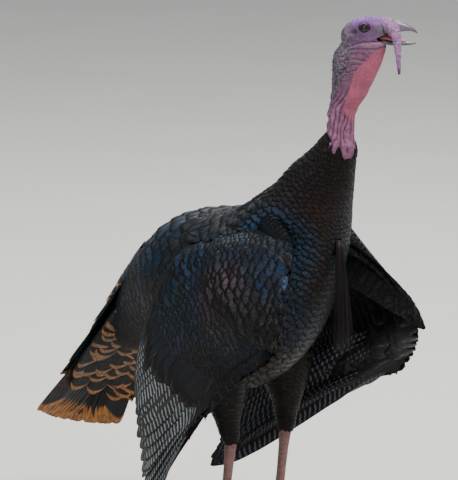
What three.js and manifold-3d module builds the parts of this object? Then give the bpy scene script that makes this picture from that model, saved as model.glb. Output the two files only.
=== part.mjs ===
// Wild turkey tom, life size, standing in a half strut with both wings let down.
// Millimetres. X runs forward, Y to the bird's left, Z up from the floor.
import * as THREE from "three";
import { mergeVertices } from "three/addons/utils/BufferGeometryUtils.js";
import Module from "manifold-3d";

const wasm = await Module();
wasm.setup();

// ---- driving dimensions ----
const GAP = 0.3; // clearance between neighbouring nodes

// Feathered neck and trunk, front to back:
// centre x, centre z, angle of the back above +X, depth to the back, depth to the belly, half width.
const TORSO = [
  [177, 674, 142, 26, 28, 25],
  [166, 652, 155, 34, 36, 34],
  [150, 625, 152, 44, 48, 46],
  [128, 595, 140, 52, 72, 64],
  [85, 545, 122, 52, 130, 95],
  [30, 490, 108, 68, 185, 122],
  [-40, 450, 100, 88, 205, 135],
  [-115, 420, 108, 102, 165, 125],
  [-175, 385, 122, 85, 120, 100],
  [-225, 345, 132, 78, 75, 75],
  [-265, 305, 136, 55, 42, 52],
  [-290, 280, 138, 16, 14, 16],
];
const SHOULDER_ROW = 3; // row of TORSO where the neck becomes the trunk

// Head, measured from the point midway between the eyes, with the face turned to the left.
const EYE_MID = [219, 12, 853];
const HEAD_YAW = 38;
const EYE_R = 8;
const EYE_OFFSET = 13.4;
// Skull: distance forward, top, bottom, half width.
const SKULL = [
  [-40, -8, -16, 5],
  [-35, -1, -27, 13],
  [-25, 8, -31, 17.5],
  [-12, 13.5, -31, 20],
  [2, 16, -30, 20.5],
  [16, 15.5, -29, 17.5],
  [28, 13.5, -29, 12.5],
];
const BILL_TOP = [
  [28.4, 12.5, -14, 11.2],
  [36, 12, -12.5, 10],
  [45, 10.5, -10.5, 8.5],
  [57, 7, -7.5, 6.5],
  [68, 1.5, -7, 4.6],
  [75, -3.5, -9, 2.8],
  [79, -8.5, -11, 1],
];
const BILL_LOW = [
  [28.4, -19.5, -28.5, 10.2],
  [38, -21.2, -30, 8.6],
  [48, -22.6, -30.2, 7],
  [60, -23.6, -29.6, 5.4],
  [70, -24, -28.4, 3.6],
  [76.5, -24.4, -27, 1.4],
];
const TONGUE = [
  [20, -17, -20.5, 3.4],
  [36, -18, -23, 4.4],
  [50, -20, -24, 3.6],
  [60, -21.8, -25, 1.2],
];
// Bare neck, top to bottom: centre x, y, z, turn, half depth, half width.
const NECK = [
  [216.5, 11, 838, 38, 27, 13],
  [213, 9.5, 822, 36, 38, 20],
  [207.8, 8.4, 807, 32, 39, 21],
  [201, 6, 775, 24, 35.5, 21.5],
  [189, 3.8, 743, 15, 27, 20],
  [182, 2, 724.4, 9, 21, 19],
];
// Fleshy bulbs at the foot of the neck: bearing, distance out, height, half width, half height.
const BULBS = [
  [-72, 24, 659, 9, 14],
  [-18, 26, 657, 10, 15],
  [30, 26, 658, 8, 13],
  [72, 24, 661, 8, 12],
];
// Foot of the neck: middle, heights of its ends and radius at the top and the bottom.
const FOOT_X = 177;
const FOOT_Z = [652, 724];
const FOOT_HALF = [20, 22];
// Snood, in the head's own directions: forward, left, up, radius.
const SNOOD = [
  [38, 3, 9, 7],
  [41, -4, 14.5, 7.6],
  [44, -12, 12, 7.4],
  [47, -17.5, 1, 6.8],
  [49, -18, -16, 6.2],
  [50.5, -17.5, -35, 5.4],
  [52, -16.5, -55, 4.6],
  [52.5, -16, -73, 2.4],
];
// Beard strands: lean forward, lean left, length.
const BEARD_ROOT = [179, 0, 506];
const BEARD_STRANDS = [
  [7, 0, 178],
  [4, 7, 160],
  [9, -7, 168],
];

// Each wing from the body to the leading primary, as if on the left side:
// roots of the flight feathers, leading edge, and tips of the flight feathers.
const WINGS = {
  right: {
    roots: [
      [48, 98, 508],
      [62, 128, 492],
      [58, 155, 462],
      [106, 172, 415],
      [170, 166, 362],
      [136, 190, 320],
      [102, 203, 282],
      [68, 208, 246],
    ],
    edge: [
      [132, 54, 530],
      [158, 89, 516],
      [182, 120, 486],
      [190, 147, 422],
      [188, 168, 352],
      [150, 202, 313],
      [112, 214, 273],
      [74, 218, 237],
    ],
    tips: [
      [-46, 112, 470],
      [-62, 138, 440],
      [-104, 138, 355],
      [-132, 131, 280],
      [-146, 118, 205],
      [-162, 84, 95],
      [-160, 72, 32],
      [-100, 112, 42],
    ],
  },
  left: {
    roots: [
      [52, 96, 492],
      [66, 127, 470],
      [62, 158, 432],
      [110, 172, 396],
      [176, 165, 356],
      [144, 192, 310],
      [120, 204, 284],
      [103, 210, 260],
    ],
    edge: [
      [132, 52, 488],
      [150, 92, 464],
      [176, 118, 432],
      [190, 146, 394],
      [193, 167, 346],
      [158, 204, 303],
      [132, 214, 275],
      [110, 220, 252],
    ],
    tips: [
      [-46, 112, 462],
      [-62, 138, 425],
      [-104, 137, 345],
      [-128, 130, 278],
      [-146, 116, 215],
      [-168, 88, 140],
      [-162, 60, 92],
      [-84, 114, 132],
    ],
  },
};
const WRIST = 4; // row of the wrist in each list
const HAND_END = 7; // row of the leading primary
const WING_BULGE = 17;
const FLIGHT_HALF = 2;
const FLIGHT_START = [0.3, 0.12]; // where the plates begin under the coverts, inner and outer row
const SECONDARIES = 15;
const PRIMARIES = 10;
const ARM_END = 6.9;
const ARM_COVER = [0.5, 0.3]; // share of the flight feathers under coverts, at the body and at the hand
const ARM_THICK = [17, 6]; // half thickness behind the leading edge, at the body and at the hand
const ARM_EDGE = [4.4, 3.6]; // half thickness at the trailing edge

// Tail fan: root, axis, leftward edge direction, length, half widths.
const TAIL_ROOT = [-206, 0, 402];
const TAIL_TIP = [-405, 0, 140];
const TAIL_SIDE = [-5.5, 92, -46];
const TAIL_HALF = [30, 103];
const TAIL_FEATHERS = 18;
const TAIL_ROUND = 14; // how much shorter the outer feathers end
const TAIL_DROP = 12; // how far the edges hang below the middle
const TAIL_THICK = 2.2; // half thickness
const COVER_GAP = 0.9; // between the faceted tail and its faceted coverts
// Coverts over and under the tail: reach along it, half widths, depths at the body and at the end.
const COVERTS_OVER = { reach: 0.68, half: [76, 90], depth: [46, 6], side: 1 };
const COVERTS_UNDER = { reach: 0.5, half: [58, 76], depth: [40, 5], side: -1 };

// Legs, right side shown as positive Y.
const THIGH = [
  [-22, 70, 318, 52],
  [-10, 74, 280, 47],
  [-2, 72, 235, 32],
  [1, 68, 198, 19],
  [3, 65.5, 178, 12],
];
const SHANK = [
  [3, 65, 177, 11.5],
  [1, 65, 164, 9.5],
  [-3, 65, 130, 7.6],
  [-11, 65, 70, 7.6],
  [-16, 65, 26, 9.5],
];
const FOOT_MID = [-16, 65];
const TOES = [
  ["inner", -32, 68, 13],
  ["middle", -2, 98, 16],
  ["outer", 28, 70, 13],
  ["hind", 176, 38, 12],
];
const SPUR_X = -12;
const SPUR_Z = 72;
const SPUR_LENGTH = 26;

// ---- colours ----
const paint = (color, roughness) =>
  new THREE.MeshStandardMaterial({ color, roughness, metalness: 0 });
const FINISH = {
  plumage: paint(0x2b231d, 0.6),
  mantle: paint(0x1d2630, 0.55),
  coverts: paint(0x3c2c24, 0.55),
  flight: paint(0x5b544c, 0.6),
  rectrices: paint(0x4a3020, 0.6),
  bare: paint(0xb06a72, 0.5),
  crown: paint(0x8f87a8, 0.5),
  wattle: paint(0xd99a9c, 0.45),
  horn: paint(0x8a8478, 0.4),
  claw: paint(0x4b443c, 0.4),
  shank: paint(0x8d6a6c, 0.5),
  beard: paint(0x15110f, 0.8),
  eye: paint(0x140c08, 0.1),
  tongue: paint(0xa04848, 0.4),
};

// ---- helpers ----
const vec = (p) => new THREE.Vector3(p[0], p[1], p[2]);
const mix = THREE.MathUtils.lerp;
const clamp = THREE.MathUtils.clamp;
const rad = THREE.MathUtils.degToRad;

// A smooth curve through every column of a table; t counts rows.
function along(table, t) {
  const last = table.length - 1;
  const k = clamp(Math.floor(t), 0, last - 1);
  const f = t - k;
  const at = (i) => table[clamp(i, 0, last)];
  return table[k].map((_, c) => {
    const [a, b, d, e] = [at(k - 1)[c], at(k)[c], at(k + 1)[c], at(k + 2)[c]];
    const bend = 2 * a - 5 * b + 4 * d - e + f * (3 * (b - d) + e - a);
    return b + 0.5 * f * (d - a + f * bend);
  });
}

// A closed geometry as a solid, faces outward.
function solid(geometry) {
  geometry.deleteAttribute("normal");
  geometry.deleteAttribute("uv");
  const joined = mergeVertices(geometry, 1e-3);
  const vertProperties = joined.attributes.position.array;
  const index = joined.index.array;
  const faces = [];
  let volume = 0;
  for (let i = 0; i < index.length; i += 3) {
    const [a, b, c] = [index[i], index[i + 1], index[i + 2]];
    if (a === b || b === c || a === c) continue;
    faces.push([a, b, c]);
    const [p, q, r] = [a, b, c].map((n) => vec(vertProperties.slice(3 * n, 3 * n + 3)));
    volume += p.dot(q.cross(r));
  }
  const triVerts = Uint32Array.from(
    faces.flatMap(([a, b, c]) => (volume > 0 ? [a, b, c] : [a, c, b])),
  );
  return new wasm.Manifold(new wasm.Mesh({ numProp: 3, vertProperties, triVerts }));
}

// A closed tube of rings: place(t, angle, rim) gives each point, rim being 0 in the middle of an end.
function loft(steps, around, place) {
  const g = new THREE.CylinderGeometry(1, 1, 1, around, steps);
  const p = g.attributes.position;
  for (let i = 0; i < p.count; i += 1) {
    const rim = Math.hypot(p.getX(i), p.getZ(i)) > 0.5 ? 1 : 0;
    const angle = Math.atan2(p.getX(i), p.getZ(i));
    const q = place(0.5 - p.getY(i), angle, rim);
    p.setXYZ(i, q.x, q.y, q.z);
  }
  return solid(g);
}

// Oval rings: ring(t) gives the middle, the up and side directions and the half sizes.
function ovals(steps, around, ring, grow = 0, flat = 1) {
  const soft = (n) => (Math.abs(n) < 1e-9 ? 0 : Math.sign(n) * Math.abs(n) ** flat);
  return loft(steps, around, (t, angle, rim) => {
    const s = ring(t);
    const run = ring(Math.min(t + 0.01, 1)).at.sub(ring(Math.max(t - 0.01, 0)).at).normalize();
    const end = t < 1e-6 ? -grow : t > 1 - 1e-6 ? grow : 0;
    const up = soft(Math.cos(angle)) * ((Math.cos(angle) > 0 ? s.top : s.low) + grow) * rim;
    const side = soft(Math.sin(angle)) * (s.half + grow) * rim;
    return s.at.addScaledVector(s.up, up).addScaledVector(s.side, side).addScaledVector(run, end);
  });
}

// A round tube through [x, y, z, radius] rows; flat levels it off on the floor.
function tube(rows, steps, around, grow = 0, floor = -1e3) {
  const spine = new THREE.CatmullRomCurve3(rows.map(vec));
  const frames = spine.computeFrenetFrames(steps);
  return loft(steps, around, (t, angle, rim) => {
    const k = Math.round(t * steps);
    const radius = (along(rows, t * (rows.length - 1))[3] + grow) * rim;
    const p = vec(along(rows, t * (rows.length - 1)));
    p.addScaledVector(frames.normals[k], Math.cos(angle) * radius);
    p.addScaledVector(frames.binormals[k], Math.sin(angle) * radius);
    p.addScaledVector(frames.tangents[k], k === 0 ? -grow : k === steps ? grow : 0);
    p.z = Math.max(p.z, floor);
    return p;
  });
}

// A thin plate over a surface: place(a, b, c) with a across, b along and c through, each -1 or 0 to 1.
function plate(across, lengthwise, place) {
  const g = new THREE.BoxGeometry(2, 1, 2, across, lengthwise, 1);
  const p = g.attributes.position;
  for (let i = 0; i < p.count; i += 1) {
    const q = place(p.getX(i), p.getY(i) + 0.5, p.getZ(i));
    p.setXYZ(i, q.x, q.y, q.z);
  }
  return solid(g);
}

// The largest piece that is left after a cut.
function largest(body) {
  return body.decompose().reduce((a, b) => (b.volume() > a.volume() ? b : a));
}

const join = (solids) => solids.reduce((a, b) => a.add(b));

const bird = new THREE.Group();
bird.name = "wild_turkey";

function addNode(name, finish, body, cutters = []) {
  const cut = cutters.reduce((a, b) => a.subtract(b), body);
  const mesh = largest(cut).getMesh();
  const g = new THREE.BufferGeometry();
  g.setAttribute("position", new THREE.BufferAttribute(mesh.vertProperties, 3));
  g.setIndex(new THREE.BufferAttribute(mesh.triVerts, 1));
  g.computeVertexNormals();
  const node = new THREE.Mesh(g, FINISH[finish]);
  node.name = name;
  bird.add(node);
}

// ---- trunk and feathered neck ----
function torso(from, to, steps, around, grow = 0) {
  return ovals(
    steps,
    around,
    (t) => {
      const [x, z, tilt, top, low, half] = along(TORSO, mix(from, to, t));
      const up = new THREE.Vector3(Math.cos(rad(tilt)), 0, Math.sin(rad(tilt)));
      return { at: vec([x, 0, z]), up, side: vec([0, 1, 0]), top, low, half };
    },
    grow,
  );
}
const trunk = (grow) => torso(SHOULDER_ROW, TORSO.length - 1, 14, 24, grow);
const neckBase = (grow) => torso(0, SHOULDER_ROW - 0.01, 5, 20, grow);

// ---- head ----
const FACE = vec([Math.cos(rad(HEAD_YAW)), Math.sin(rad(HEAD_YAW)), 0]);
const CHEEK = vec([-Math.sin(rad(HEAD_YAW)), Math.cos(rad(HEAD_YAW)), 0]);
const UP = vec([0, 0, 1]);
const headPoint = (forward, left, up) =>
  vec(EYE_MID).addScaledVector(FACE, forward).addScaledVector(CHEEK, left).addScaledVector(UP, up);

function headLoft(table, steps, around, grow, flat) {
  return ovals(
    steps,
    around,
    (t) => {
      const [s, high, low, half] = along(table, t * (table.length - 1));
      const size = (high - low) / 2;
      const at = headPoint(s, 0, (high + low) / 2);
      return { at, up: UP, side: CHEEK, top: size, low: size, half };
    },
    grow,
    flat,
  );
}
const skull = (grow) => headLoft(SKULL, 8, 16, grow, 0.9);
const billTop = (grow) => headLoft(BILL_TOP, 7, 10, grow, 0.95);
const billLow = (grow) => headLoft(BILL_LOW, 5, 10, grow, 0.95);
const tongue = () => headLoft(TONGUE, 4, 6, 0, 1);
// The corner of the mouth, cut back into the cheek.
const mouthCorner = () =>
  headLoft([[18, -14.5, -16, 30], [30, -13.5, -19.5, 30]], 1, 8, 0, 0.3);
const eye = (side, grow) => {
  const p = headPoint(0, side * EYE_OFFSET, 0);
  return solid(new THREE.SphereGeometry(EYE_R + grow, 10, 7).translate(p.x, p.y, p.z));
};
const neck = (grow) =>
  ovals(
    6,
    14,
    (t) => {
      const [x, y, z, turn, deep, half] = along(NECK, t * (NECK.length - 1));
      const up = vec([Math.cos(rad(turn)), Math.sin(rad(turn)), 0]);
      const side = vec([-Math.sin(rad(turn)), Math.cos(rad(turn)), 0]);
      return { at: vec([x, y, z]), up, side, top: deep, low: deep, half };
    },
    grow,
  );
const snood = () =>
  tube(SNOOD.map(([s, l, u, r]) => [...headPoint(s, l, u).toArray(), r]), 10, 8);

// The foot of the bare neck with its fleshy bulbs.
function caruncles() {
  const [x, y] = NECK[NECK.length - 1];
  const column = ovals(3, 12, (t) => {
    const at = vec([mix(FOOT_X, x, (1 - t) ** 2), y * (1 - t), mix(FOOT_Z[1], FOOT_Z[0], t)]);
    const size = mix(FOOT_HALF[0], FOOT_HALF[1], Math.sqrt(t));
    return { at, up: vec([1, 0, 0]), side: vec([0, 1, 0]), top: size, low: size, half: size };
  });
  const bulbs = BULBS.map(([bearing, out, z, half, high]) => {
    const a = rad(bearing);
    return solid(
      new THREE.SphereGeometry(1, 7, 5)
        .scale(half, half, high)
        .translate(FOOT_X + out * Math.cos(a), out * Math.sin(a), z),
    );
  });
  return join([column, ...bulbs]);
}

function beard() {
  const [x, y, z] = BEARD_ROOT;
  const strands = BEARD_STRANDS.map(([ahead, left, long]) =>
    tube(
      [
        [x - 8, y, z + 8, 6],
        [x + ahead * 0.5, y + left * 0.3, z - 20, 8],
        [x + ahead, y + left * 0.7, z - long * 0.45, 7.5],
        [x + ahead, y + left, z - long * 0.8, 5],
        [x + ahead - 1, y + left * 1.2, z - long, 2],
      ],
      4,
      4,
    ),
  );
  return join(strands);
}

// ---- wings ----
// A wing is described on the left side and mirrored for the right.
function wing(side) {
  const turn = side === "left" ? 1 : -1;
  const { roots, edge, tips } = WINGS[side];
  const flat = (u, v) => vec(along(roots, u)).lerp(vec(along(tips, u)), v);
  const outward = (u, v) => {
    const du = flat(u + 0.02, v).sub(flat(u - 0.02, v));
    const dv = flat(u, v + 0.02).sub(flat(u, v - 0.02));
    const n = du.cross(dv).normalize();
    return n.y < 0 ? n.negate() : n;
  };
  const surface = (u, v) =>
    flat(u, v).addScaledVector(outward(u, v), WING_BULGE * 4 * v * (1 - 0.8 * v) * 0.8);
  const hand = (p) => vec([p.x, p.y * turn, p.z]);

  // Length of the feather under a place across the row: full at the shaft, less at the edges.
  const reach = (u, count, first, last, notch) => {
    const f = ((u - first) / (last - first)) * count;
    return 1 - notch * Math.abs(2 * (f - Math.floor(f)) - 1) ** 2;
  };
  const flight = (first, last, start, count, steps, notch) =>
    plate(count * 2, steps, (a, b, c) => {
      const u = mix(first, last, (a + 1) / 2);
      const v = mix(start, reach(clamp(u, first, last - 1e-6), count, first, last, notch), b);
      return hand(surface(u, v).addScaledVector(outward(u, v), c * FLIGHT_HALF));
    });

  const arm = (grow) =>
    loft(12, 12, (t, angle, rim) => {
      const u = mix(0, ARM_END, t);
      const s = u / ARM_END;
      const c = rim ? (1 - Math.cos(angle)) / 2 : 0.4;
      const back = surface(u, clamp((c - 0.3) / 0.7, 0, 1) * mix(ARM_COVER[0], ARM_COVER[1], s));
      const p = c < 0.3 ? vec(along(edge, u)).lerp(surface(u, 0), c / 0.3) : back;
      const fore = Math.sqrt(clamp(c / 0.25, 0, 1));
      const aft = clamp((c - 0.3) / 0.5, 0, 1);
      const close = 1 - 0.6 * clamp((s - 0.9) / 0.1, 0, 1);
      const half = mix(mix(ARM_THICK[0], ARM_THICK[1], s), mix(ARM_EDGE[0], ARM_EDGE[1], s), aft);
      const out = Math.sin(angle) > 0 ? 1 : -1;
      const nose = Math.abs(Math.sin(angle)) > 1e-9 ? rim * Math.abs(Math.sin(angle)) ** 0.25 : 0;
      p.addScaledVector(outward(u, 0.1), out * (half * fore * nose * close + grow * nose));
      const along0 = surface(u, 0.3).sub(vec(along(edge, u))).normalize();
      p.addScaledVector(along0, rim * (c < 0.02 ? -grow : c > 0.98 ? grow : 0));
      const run = vec(along(roots, Math.min(u + 0.1, HAND_END)))
        .sub(vec(along(roots, Math.max(u - 0.1, 0))))
        .normalize();
      p.addScaledVector(run, t < 1e-6 ? -grow : t > 1 - 1e-6 ? grow : 0);
      return hand(p);
    });
  return {
    arm,
    secondaries: () => flight(0.6, WRIST - 0.004, FLIGHT_START[0], SECONDARIES, 2, 0.04),
    primaries: () => flight(WRIST + 0.004, HAND_END, FLIGHT_START[1], PRIMARIES, 2, 0.12),
  };
}

// ---- tail ----
const TAIL_AXIS = vec(TAIL_TIP).sub(vec(TAIL_ROOT));
const TAIL_LENGTH = TAIL_AXIS.length();
TAIL_AXIS.normalize();
const TAIL_LEFT = vec(TAIL_SIDE).normalize();
const TAIL_UP = TAIL_AXIS.clone().cross(TAIL_LEFT).normalize();
if (TAIL_UP.z < 0) TAIL_UP.negate();
// A place on the fan: distance to the left, share of the length, height over the middle layer.
const tailPoint = (left, v, above) => {
  const u = left / TAIL_HALF[1];
  return vec(TAIL_ROOT)
    .addScaledVector(TAIL_AXIS, v * (TAIL_LENGTH - TAIL_ROUND * u * u))
    .addScaledVector(TAIL_LEFT, left)
    .addScaledVector(TAIL_UP, above - TAIL_DROP * u * u);
};
const tail = () =>
  plate(TAIL_FEATHERS * 2, 3, (a, b, c) => {
    const f = ((a + 1) / 2) * TAIL_FEATHERS;
    const notch = Math.abs(f - Math.round(f)) < 0.1 ? 0.96 : 1;
    return tailPoint(a * mix(TAIL_HALF[0], TAIL_HALF[1], b), b * notch, c * TAIL_THICK);
  });
const tailCover = ({ reach, half, depth, side }) =>
  plate(8, 4, (a, b, c) => {
    const round = Math.sqrt(1 - (0.9 * a) ** 2);
    const thick = mix(depth[0], depth[1], b ** 0.8) * round + 1;
    const v = b * reach * (1 - 0.2 * a * a);
    const above = TAIL_THICK + COVER_GAP + ((side * c + 1) / 2) * thick;
    return tailPoint(a * mix(half[0], half[1], b), v, side * above);
  });

// ---- legs ----
const mirrored = (rows, turn) => rows.map(([x, y, z, r]) => [x, y * turn, z, r]);
const thigh = (turn, grow) => tube(mirrored(THIGH, turn), 4, 12, grow);
const shank = (turn, grow) => tube(mirrored(SHANK, turn), 5, 9, grow);
function toeRows([, bearing, long], turn) {
  const a = rad(bearing * turn);
  const step = (d, z, r) => [FOOT_MID[0] + d * Math.cos(a), (FOOT_MID[1]) * turn + d * Math.sin(a), z, r];
  return [step(0, 8.6, 9), step(long * 0.3, 6.4, 7), step(long * 0.65, 5.5, 6.2), step(long, 4, 4.6)];
}
function clawRows([, bearing, long, nail], turn) {
  const a = rad(bearing * turn);
  const step = (d, z, r) => [FOOT_MID[0] + d * Math.cos(a), (FOOT_MID[1]) * turn + d * Math.sin(a), z, r];
  return [step(long - 4, 5.4, 3), step(long + nail * 0.45, 6, 2.6), step(long + nail, 2.6, 0.7)];
}
const foot = (turn, grow) =>
  join([
    ...TOES.map((toe) => tube(toeRows(toe, turn), 3, 6, grow, grow > 0 ? -1 : 0)),
    tube(mirrored([[...FOOT_MID, 25.5, 9.4], [...FOOT_MID, 4, 10]], turn), 1, 10, grow, 0),
  ]);
const claw = (toe, turn) => tube(clawRows(toe, turn), 2, 6);
const spur = (turn) =>
  tube(
    mirrored(
      [
        [SPUR_X, 63, SPUR_Z, 6],
        [SPUR_X - 12, 60, SPUR_Z + 2, 4.6],
        [SPUR_X - SPUR_LENGTH, 57, SPUR_Z + 9, 0.8],
      ],
      turn,
    ),
    2,
    6,
  );

// ---- assembly ----
addNode("trunk", "plumage", trunk(0));
addNode("neck_feathered", "plumage", neckBase(0), [trunk(GAP)]);
addNode("neck_bare", "bare", neck(0), [skull(GAP), billLow(GAP)]);
addNode("caruncles", "wattle", caruncles(), [neckBase(GAP)]);
addNode("head", "crown", skull(0), [eye(1, GAP), eye(-1, GAP), mouthCorner()]);
addNode("eye_left", "eye", eye(1, 0));
addNode("eye_right", "eye", eye(-1, 0));
addNode("bill_upper", "horn", billTop(0));
addNode("bill_lower", "horn", billLow(0));
addNode("tongue", "tongue", tongue(), [billLow(GAP), skull(GAP)]);
addNode("snood", "wattle", snood(), [billTop(GAP), skull(GAP)]);
addNode("beard", "beard", beard(), [trunk(GAP)]);

addNode("tail", "rectrices", tail(), [trunk(GAP)]);
addNode("tail_coverts_upper", "mantle", tailCover(COVERTS_OVER), [trunk(GAP)]);
addNode("tail_coverts_under", "coverts", tailCover(COVERTS_UNDER), [trunk(GAP)]);

for (const side of ["right", "left"]) {
  const turn = side === "left" ? 1 : -1;
  const { arm, secondaries, primaries } = wing(side);
  addNode("wing_" + side, "coverts", arm(0), [trunk(GAP)]);
  addNode("secondaries_" + side, "flight", secondaries(), [arm(GAP), trunk(GAP)]);
  addNode("primaries_" + side, "flight", primaries(), [arm(GAP)]);
  addNode("thigh_" + side, "plumage", thigh(turn, 0), [trunk(GAP)]);
  addNode("shank_" + side, "shank", shank(turn, 0), [thigh(turn, GAP), foot(turn, GAP)]);
  addNode("foot_" + side, "shank", foot(turn, 0));
  addNode("spur_" + side, "claw", spur(turn), [shank(turn, GAP)]);
  for (const toe of TOES) {
    addNode("claw_" + toe[0] + "_" + side, "claw", claw(toe, turn), [foot(turn, GAP)]);
  }
}

// The origin is on the floor under the middle of the bird.
const box = new THREE.Box3().setFromObject(bird);
const middle = box.getCenter(new THREE.Vector3());
bird.position.set(-middle.x, -middle.y, -box.min.z);

const model = new THREE.Group();
model.add(bird);

export default model;
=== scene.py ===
"""Wild turkey, still and life-size: one skin under overlapping solid feathers, with horn, eyes and beard."""
import math

import bmesh
import bpy
import numpy as np
from bpy.props import FloatProperty, IntProperty, PointerProperty
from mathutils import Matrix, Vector


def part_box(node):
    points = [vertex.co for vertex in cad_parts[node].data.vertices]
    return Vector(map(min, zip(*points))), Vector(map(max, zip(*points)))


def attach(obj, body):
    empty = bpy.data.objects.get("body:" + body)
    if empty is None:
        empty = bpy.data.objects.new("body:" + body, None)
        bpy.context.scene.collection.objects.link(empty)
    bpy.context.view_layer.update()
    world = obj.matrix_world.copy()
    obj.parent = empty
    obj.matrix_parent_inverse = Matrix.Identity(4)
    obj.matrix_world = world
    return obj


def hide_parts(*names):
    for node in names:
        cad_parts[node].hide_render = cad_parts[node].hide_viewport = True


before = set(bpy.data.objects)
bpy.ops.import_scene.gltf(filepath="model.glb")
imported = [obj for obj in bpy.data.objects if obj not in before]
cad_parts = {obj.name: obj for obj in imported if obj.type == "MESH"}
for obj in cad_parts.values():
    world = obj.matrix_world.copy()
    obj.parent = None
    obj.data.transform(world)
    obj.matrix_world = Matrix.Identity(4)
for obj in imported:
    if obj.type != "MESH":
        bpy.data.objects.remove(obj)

bl_info = {
    "name": "Wild turkey model",
    "version": (1, 0, 0),
    "blender": (4, 5, 0),
    "location": "View3D > Sidebar > Turkey",
    "description": "Builds a feathered wild turkey over its CAD frame",
    "category": "Object",
}

# Sizes are in millimetres in the bird's own frame: x forward, y to its left, z up from the ground.
TORSO = [  # x, z, angle of the back, depth to the back, depth to the belly, half width
    [177, 674, 142, 26, 28, 25],
    [166, 652, 155, 34, 36, 34],
    [150, 625, 152, 44, 48, 46],
    [128, 595, 140, 52, 72, 64],
    [85, 545, 122, 52, 130, 95],
    [30, 490, 108, 68, 185, 122],
    [-40, 450, 100, 88, 205, 135],
    [-115, 420, 108, 102, 165, 125],
    [-175, 385, 122, 85, 120, 100],
    [-225, 345, 132, 78, 75, 75],
    [-265, 305, 136, 55, 42, 52],
    [-290, 280, 138, 16, 14, 16],
]
EYE_MID = np.array([219.0, 12.0, 853.0])
HEAD_YAW = 38
EYE_R = 8
EYE_OFFSET = 13.4
EYE_BACK = 3.5  # the eyeball sits this far behind the middle of the solid eye, so that lids close round it
BILL_TOP = [  # ahead of the eyes, top, bottom, half width
    [28.4, 12.5, -14, 11.2],
    [36, 12, -12.5, 10],
    [45, 10.5, -10.5, 8.5],
    [57, 7, -7.5, 6.5],
    [68, 1.5, -7, 4.6],
    [75, -3.5, -9, 2.8],
    [79, -8.5, -11, 1],
]
BILL_LOW = [
    [28.4, -19.5, -28.5, 10.2],
    [38, -21.2, -30, 8.6],
    [48, -22.6, -30.2, 7],
    [60, -23.6, -29.6, 5.4],
    [70, -24, -28.4, 3.6],
    [76.5, -24.4, -27, 1.4],
]
TONGUE = [
    [20, -14, -20.5, 5.5],
    [32, -13, -23, 7.0],
    [44, -17.5, -24, 5.4],
    [54, -20, -24.5, 3.6],
    [61, -22, -25, 1.2],
]
MOUTH_UP = -18.5  # height of the middle of the open mouth beside the eyes
NECK = [  # x, y, z, turn, half depth, half width
    [216.5, 11, 838, 38, 27, 13],
    [213, 9.5, 822, 36, 38, 20],
    [207.8, 8.4, 807, 32, 39, 21],
    [201, 6, 775, 24, 35.5, 21.5],
    [189, 3.8, 743, 15, 27, 20],
    [182, 2, 724.4, 9, 21, 19],
]
COLLAR = (177, 674)  # x and z of the edge where the feathers of the neck begin
COLLAR_SLOPE = (0.616, 0.788)
BULBS = [  # bearing, distance out, z, half width, half height
    [-72, 24, 659, 9, 14],
    [-18, 26, 657, 10, 15],
    [30, 26, 658, 8, 13],
    [72, 24, 661, 8, 12],
]
SNOOD = [  # ahead, left, up, radius
    [20, 0, 3, 8.0],
    [29, -2, 3.5, 10.5],
    [36, -7, 2.0, 11.5],
    [42, -12.5, -3, 10.2],
    [46.5, -16, -13, 7.8],
    [49, -17, -30, 5.8],
    [50.5, -16.5, -52, 4.1],
    [51.5, -16, -73, 2.0],
]
BEARD_ROOT = [179, 0, 506]
BEARD_LENGTH = 178
WINGS = {  # from the shoulder to the leading primary: feather roots, leading edge, feather tips
    "right": {
        "roots": [[48, 98, 508], [62, 128, 492], [58, 155, 462], [106, 172, 415],
                  [170, 166, 362], [136, 190, 320], [102, 203, 282], [68, 208, 246]],
        "edge": [[132, 54, 530], [158, 89, 516], [182, 120, 486], [190, 147, 422],
                 [188, 168, 352], [150, 202, 313], [112, 214, 273], [74, 218, 237]],
        "tips": [[-46, 112, 470], [-62, 138, 440], [-104, 138, 355], [-132, 131, 280],
                 [-146, 118, 205], [-162, 84, 95], [-160, 72, 32], [-100, 112, 42]],
    },
    "left": {
        "roots": [[52, 96, 492], [66, 127, 470], [62, 158, 432], [110, 172, 396],
                  [176, 165, 356], [144, 192, 310], [120, 204, 284], [103, 210, 260]],
        "edge": [[132, 52, 488], [150, 92, 464], [176, 118, 432], [190, 146, 394],
                 [193, 167, 346], [158, 204, 303], [132, 214, 275], [110, 220, 252]],
        "tips": [[-46, 112, 462], [-62, 138, 425], [-104, 137, 345], [-128, 130, 278],
                 [-146, 116, 215], [-168, 88, 140], [-162, 60, 92], [-84, 114, 132]],
    },
}
HAND_END = 7
WING_BULGE = 17
ARM_END = 6.9
ARM_COVER = (0.5, 0.3)  # share of the flight feathers under coverts, at the body and at the hand
ARM_THICK = (17, 6)  # half thickness behind the leading edge
ARM_EDGE = (4.4, 3.6)  # half thickness at the trailing edge
TAIL_ROOT = np.array([-206.0, 0, 402])
TAIL_TIP = np.array([-405.0, 0, 140])
TAIL_SIDE = np.array([-5.5, 92, -46])
TAIL_HALF = (30, 103)
TAIL_ROUND = 14
TAIL_DROP = 12
TAIL_TIER = 31.0  # from each row of the tail coverts to the next
THIGH = [[-22, 70, 318, 52], [-10, 74, 280, 47], [-2, 72, 235, 32], [1, 68, 198, 19], [3, 65.5, 178, 12]]
LEG_SIDE = 110  # the legs stand nearer to the middle than this
FOOT_MID = (-16, 65)
TOES = [  # name, bearing, length of the toe, length of the claw
    ("inner", -32, 68, 13),
    ("middle", -2, 98, 16),
    ("outer", 28, 70, 13),
    ("hind", 176, 38, 12),
]
SPUR = [[-12, 63, 72, 6], [-24, 60, 74, 4.6], [-38, 57, 81, 0.8]]

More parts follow.
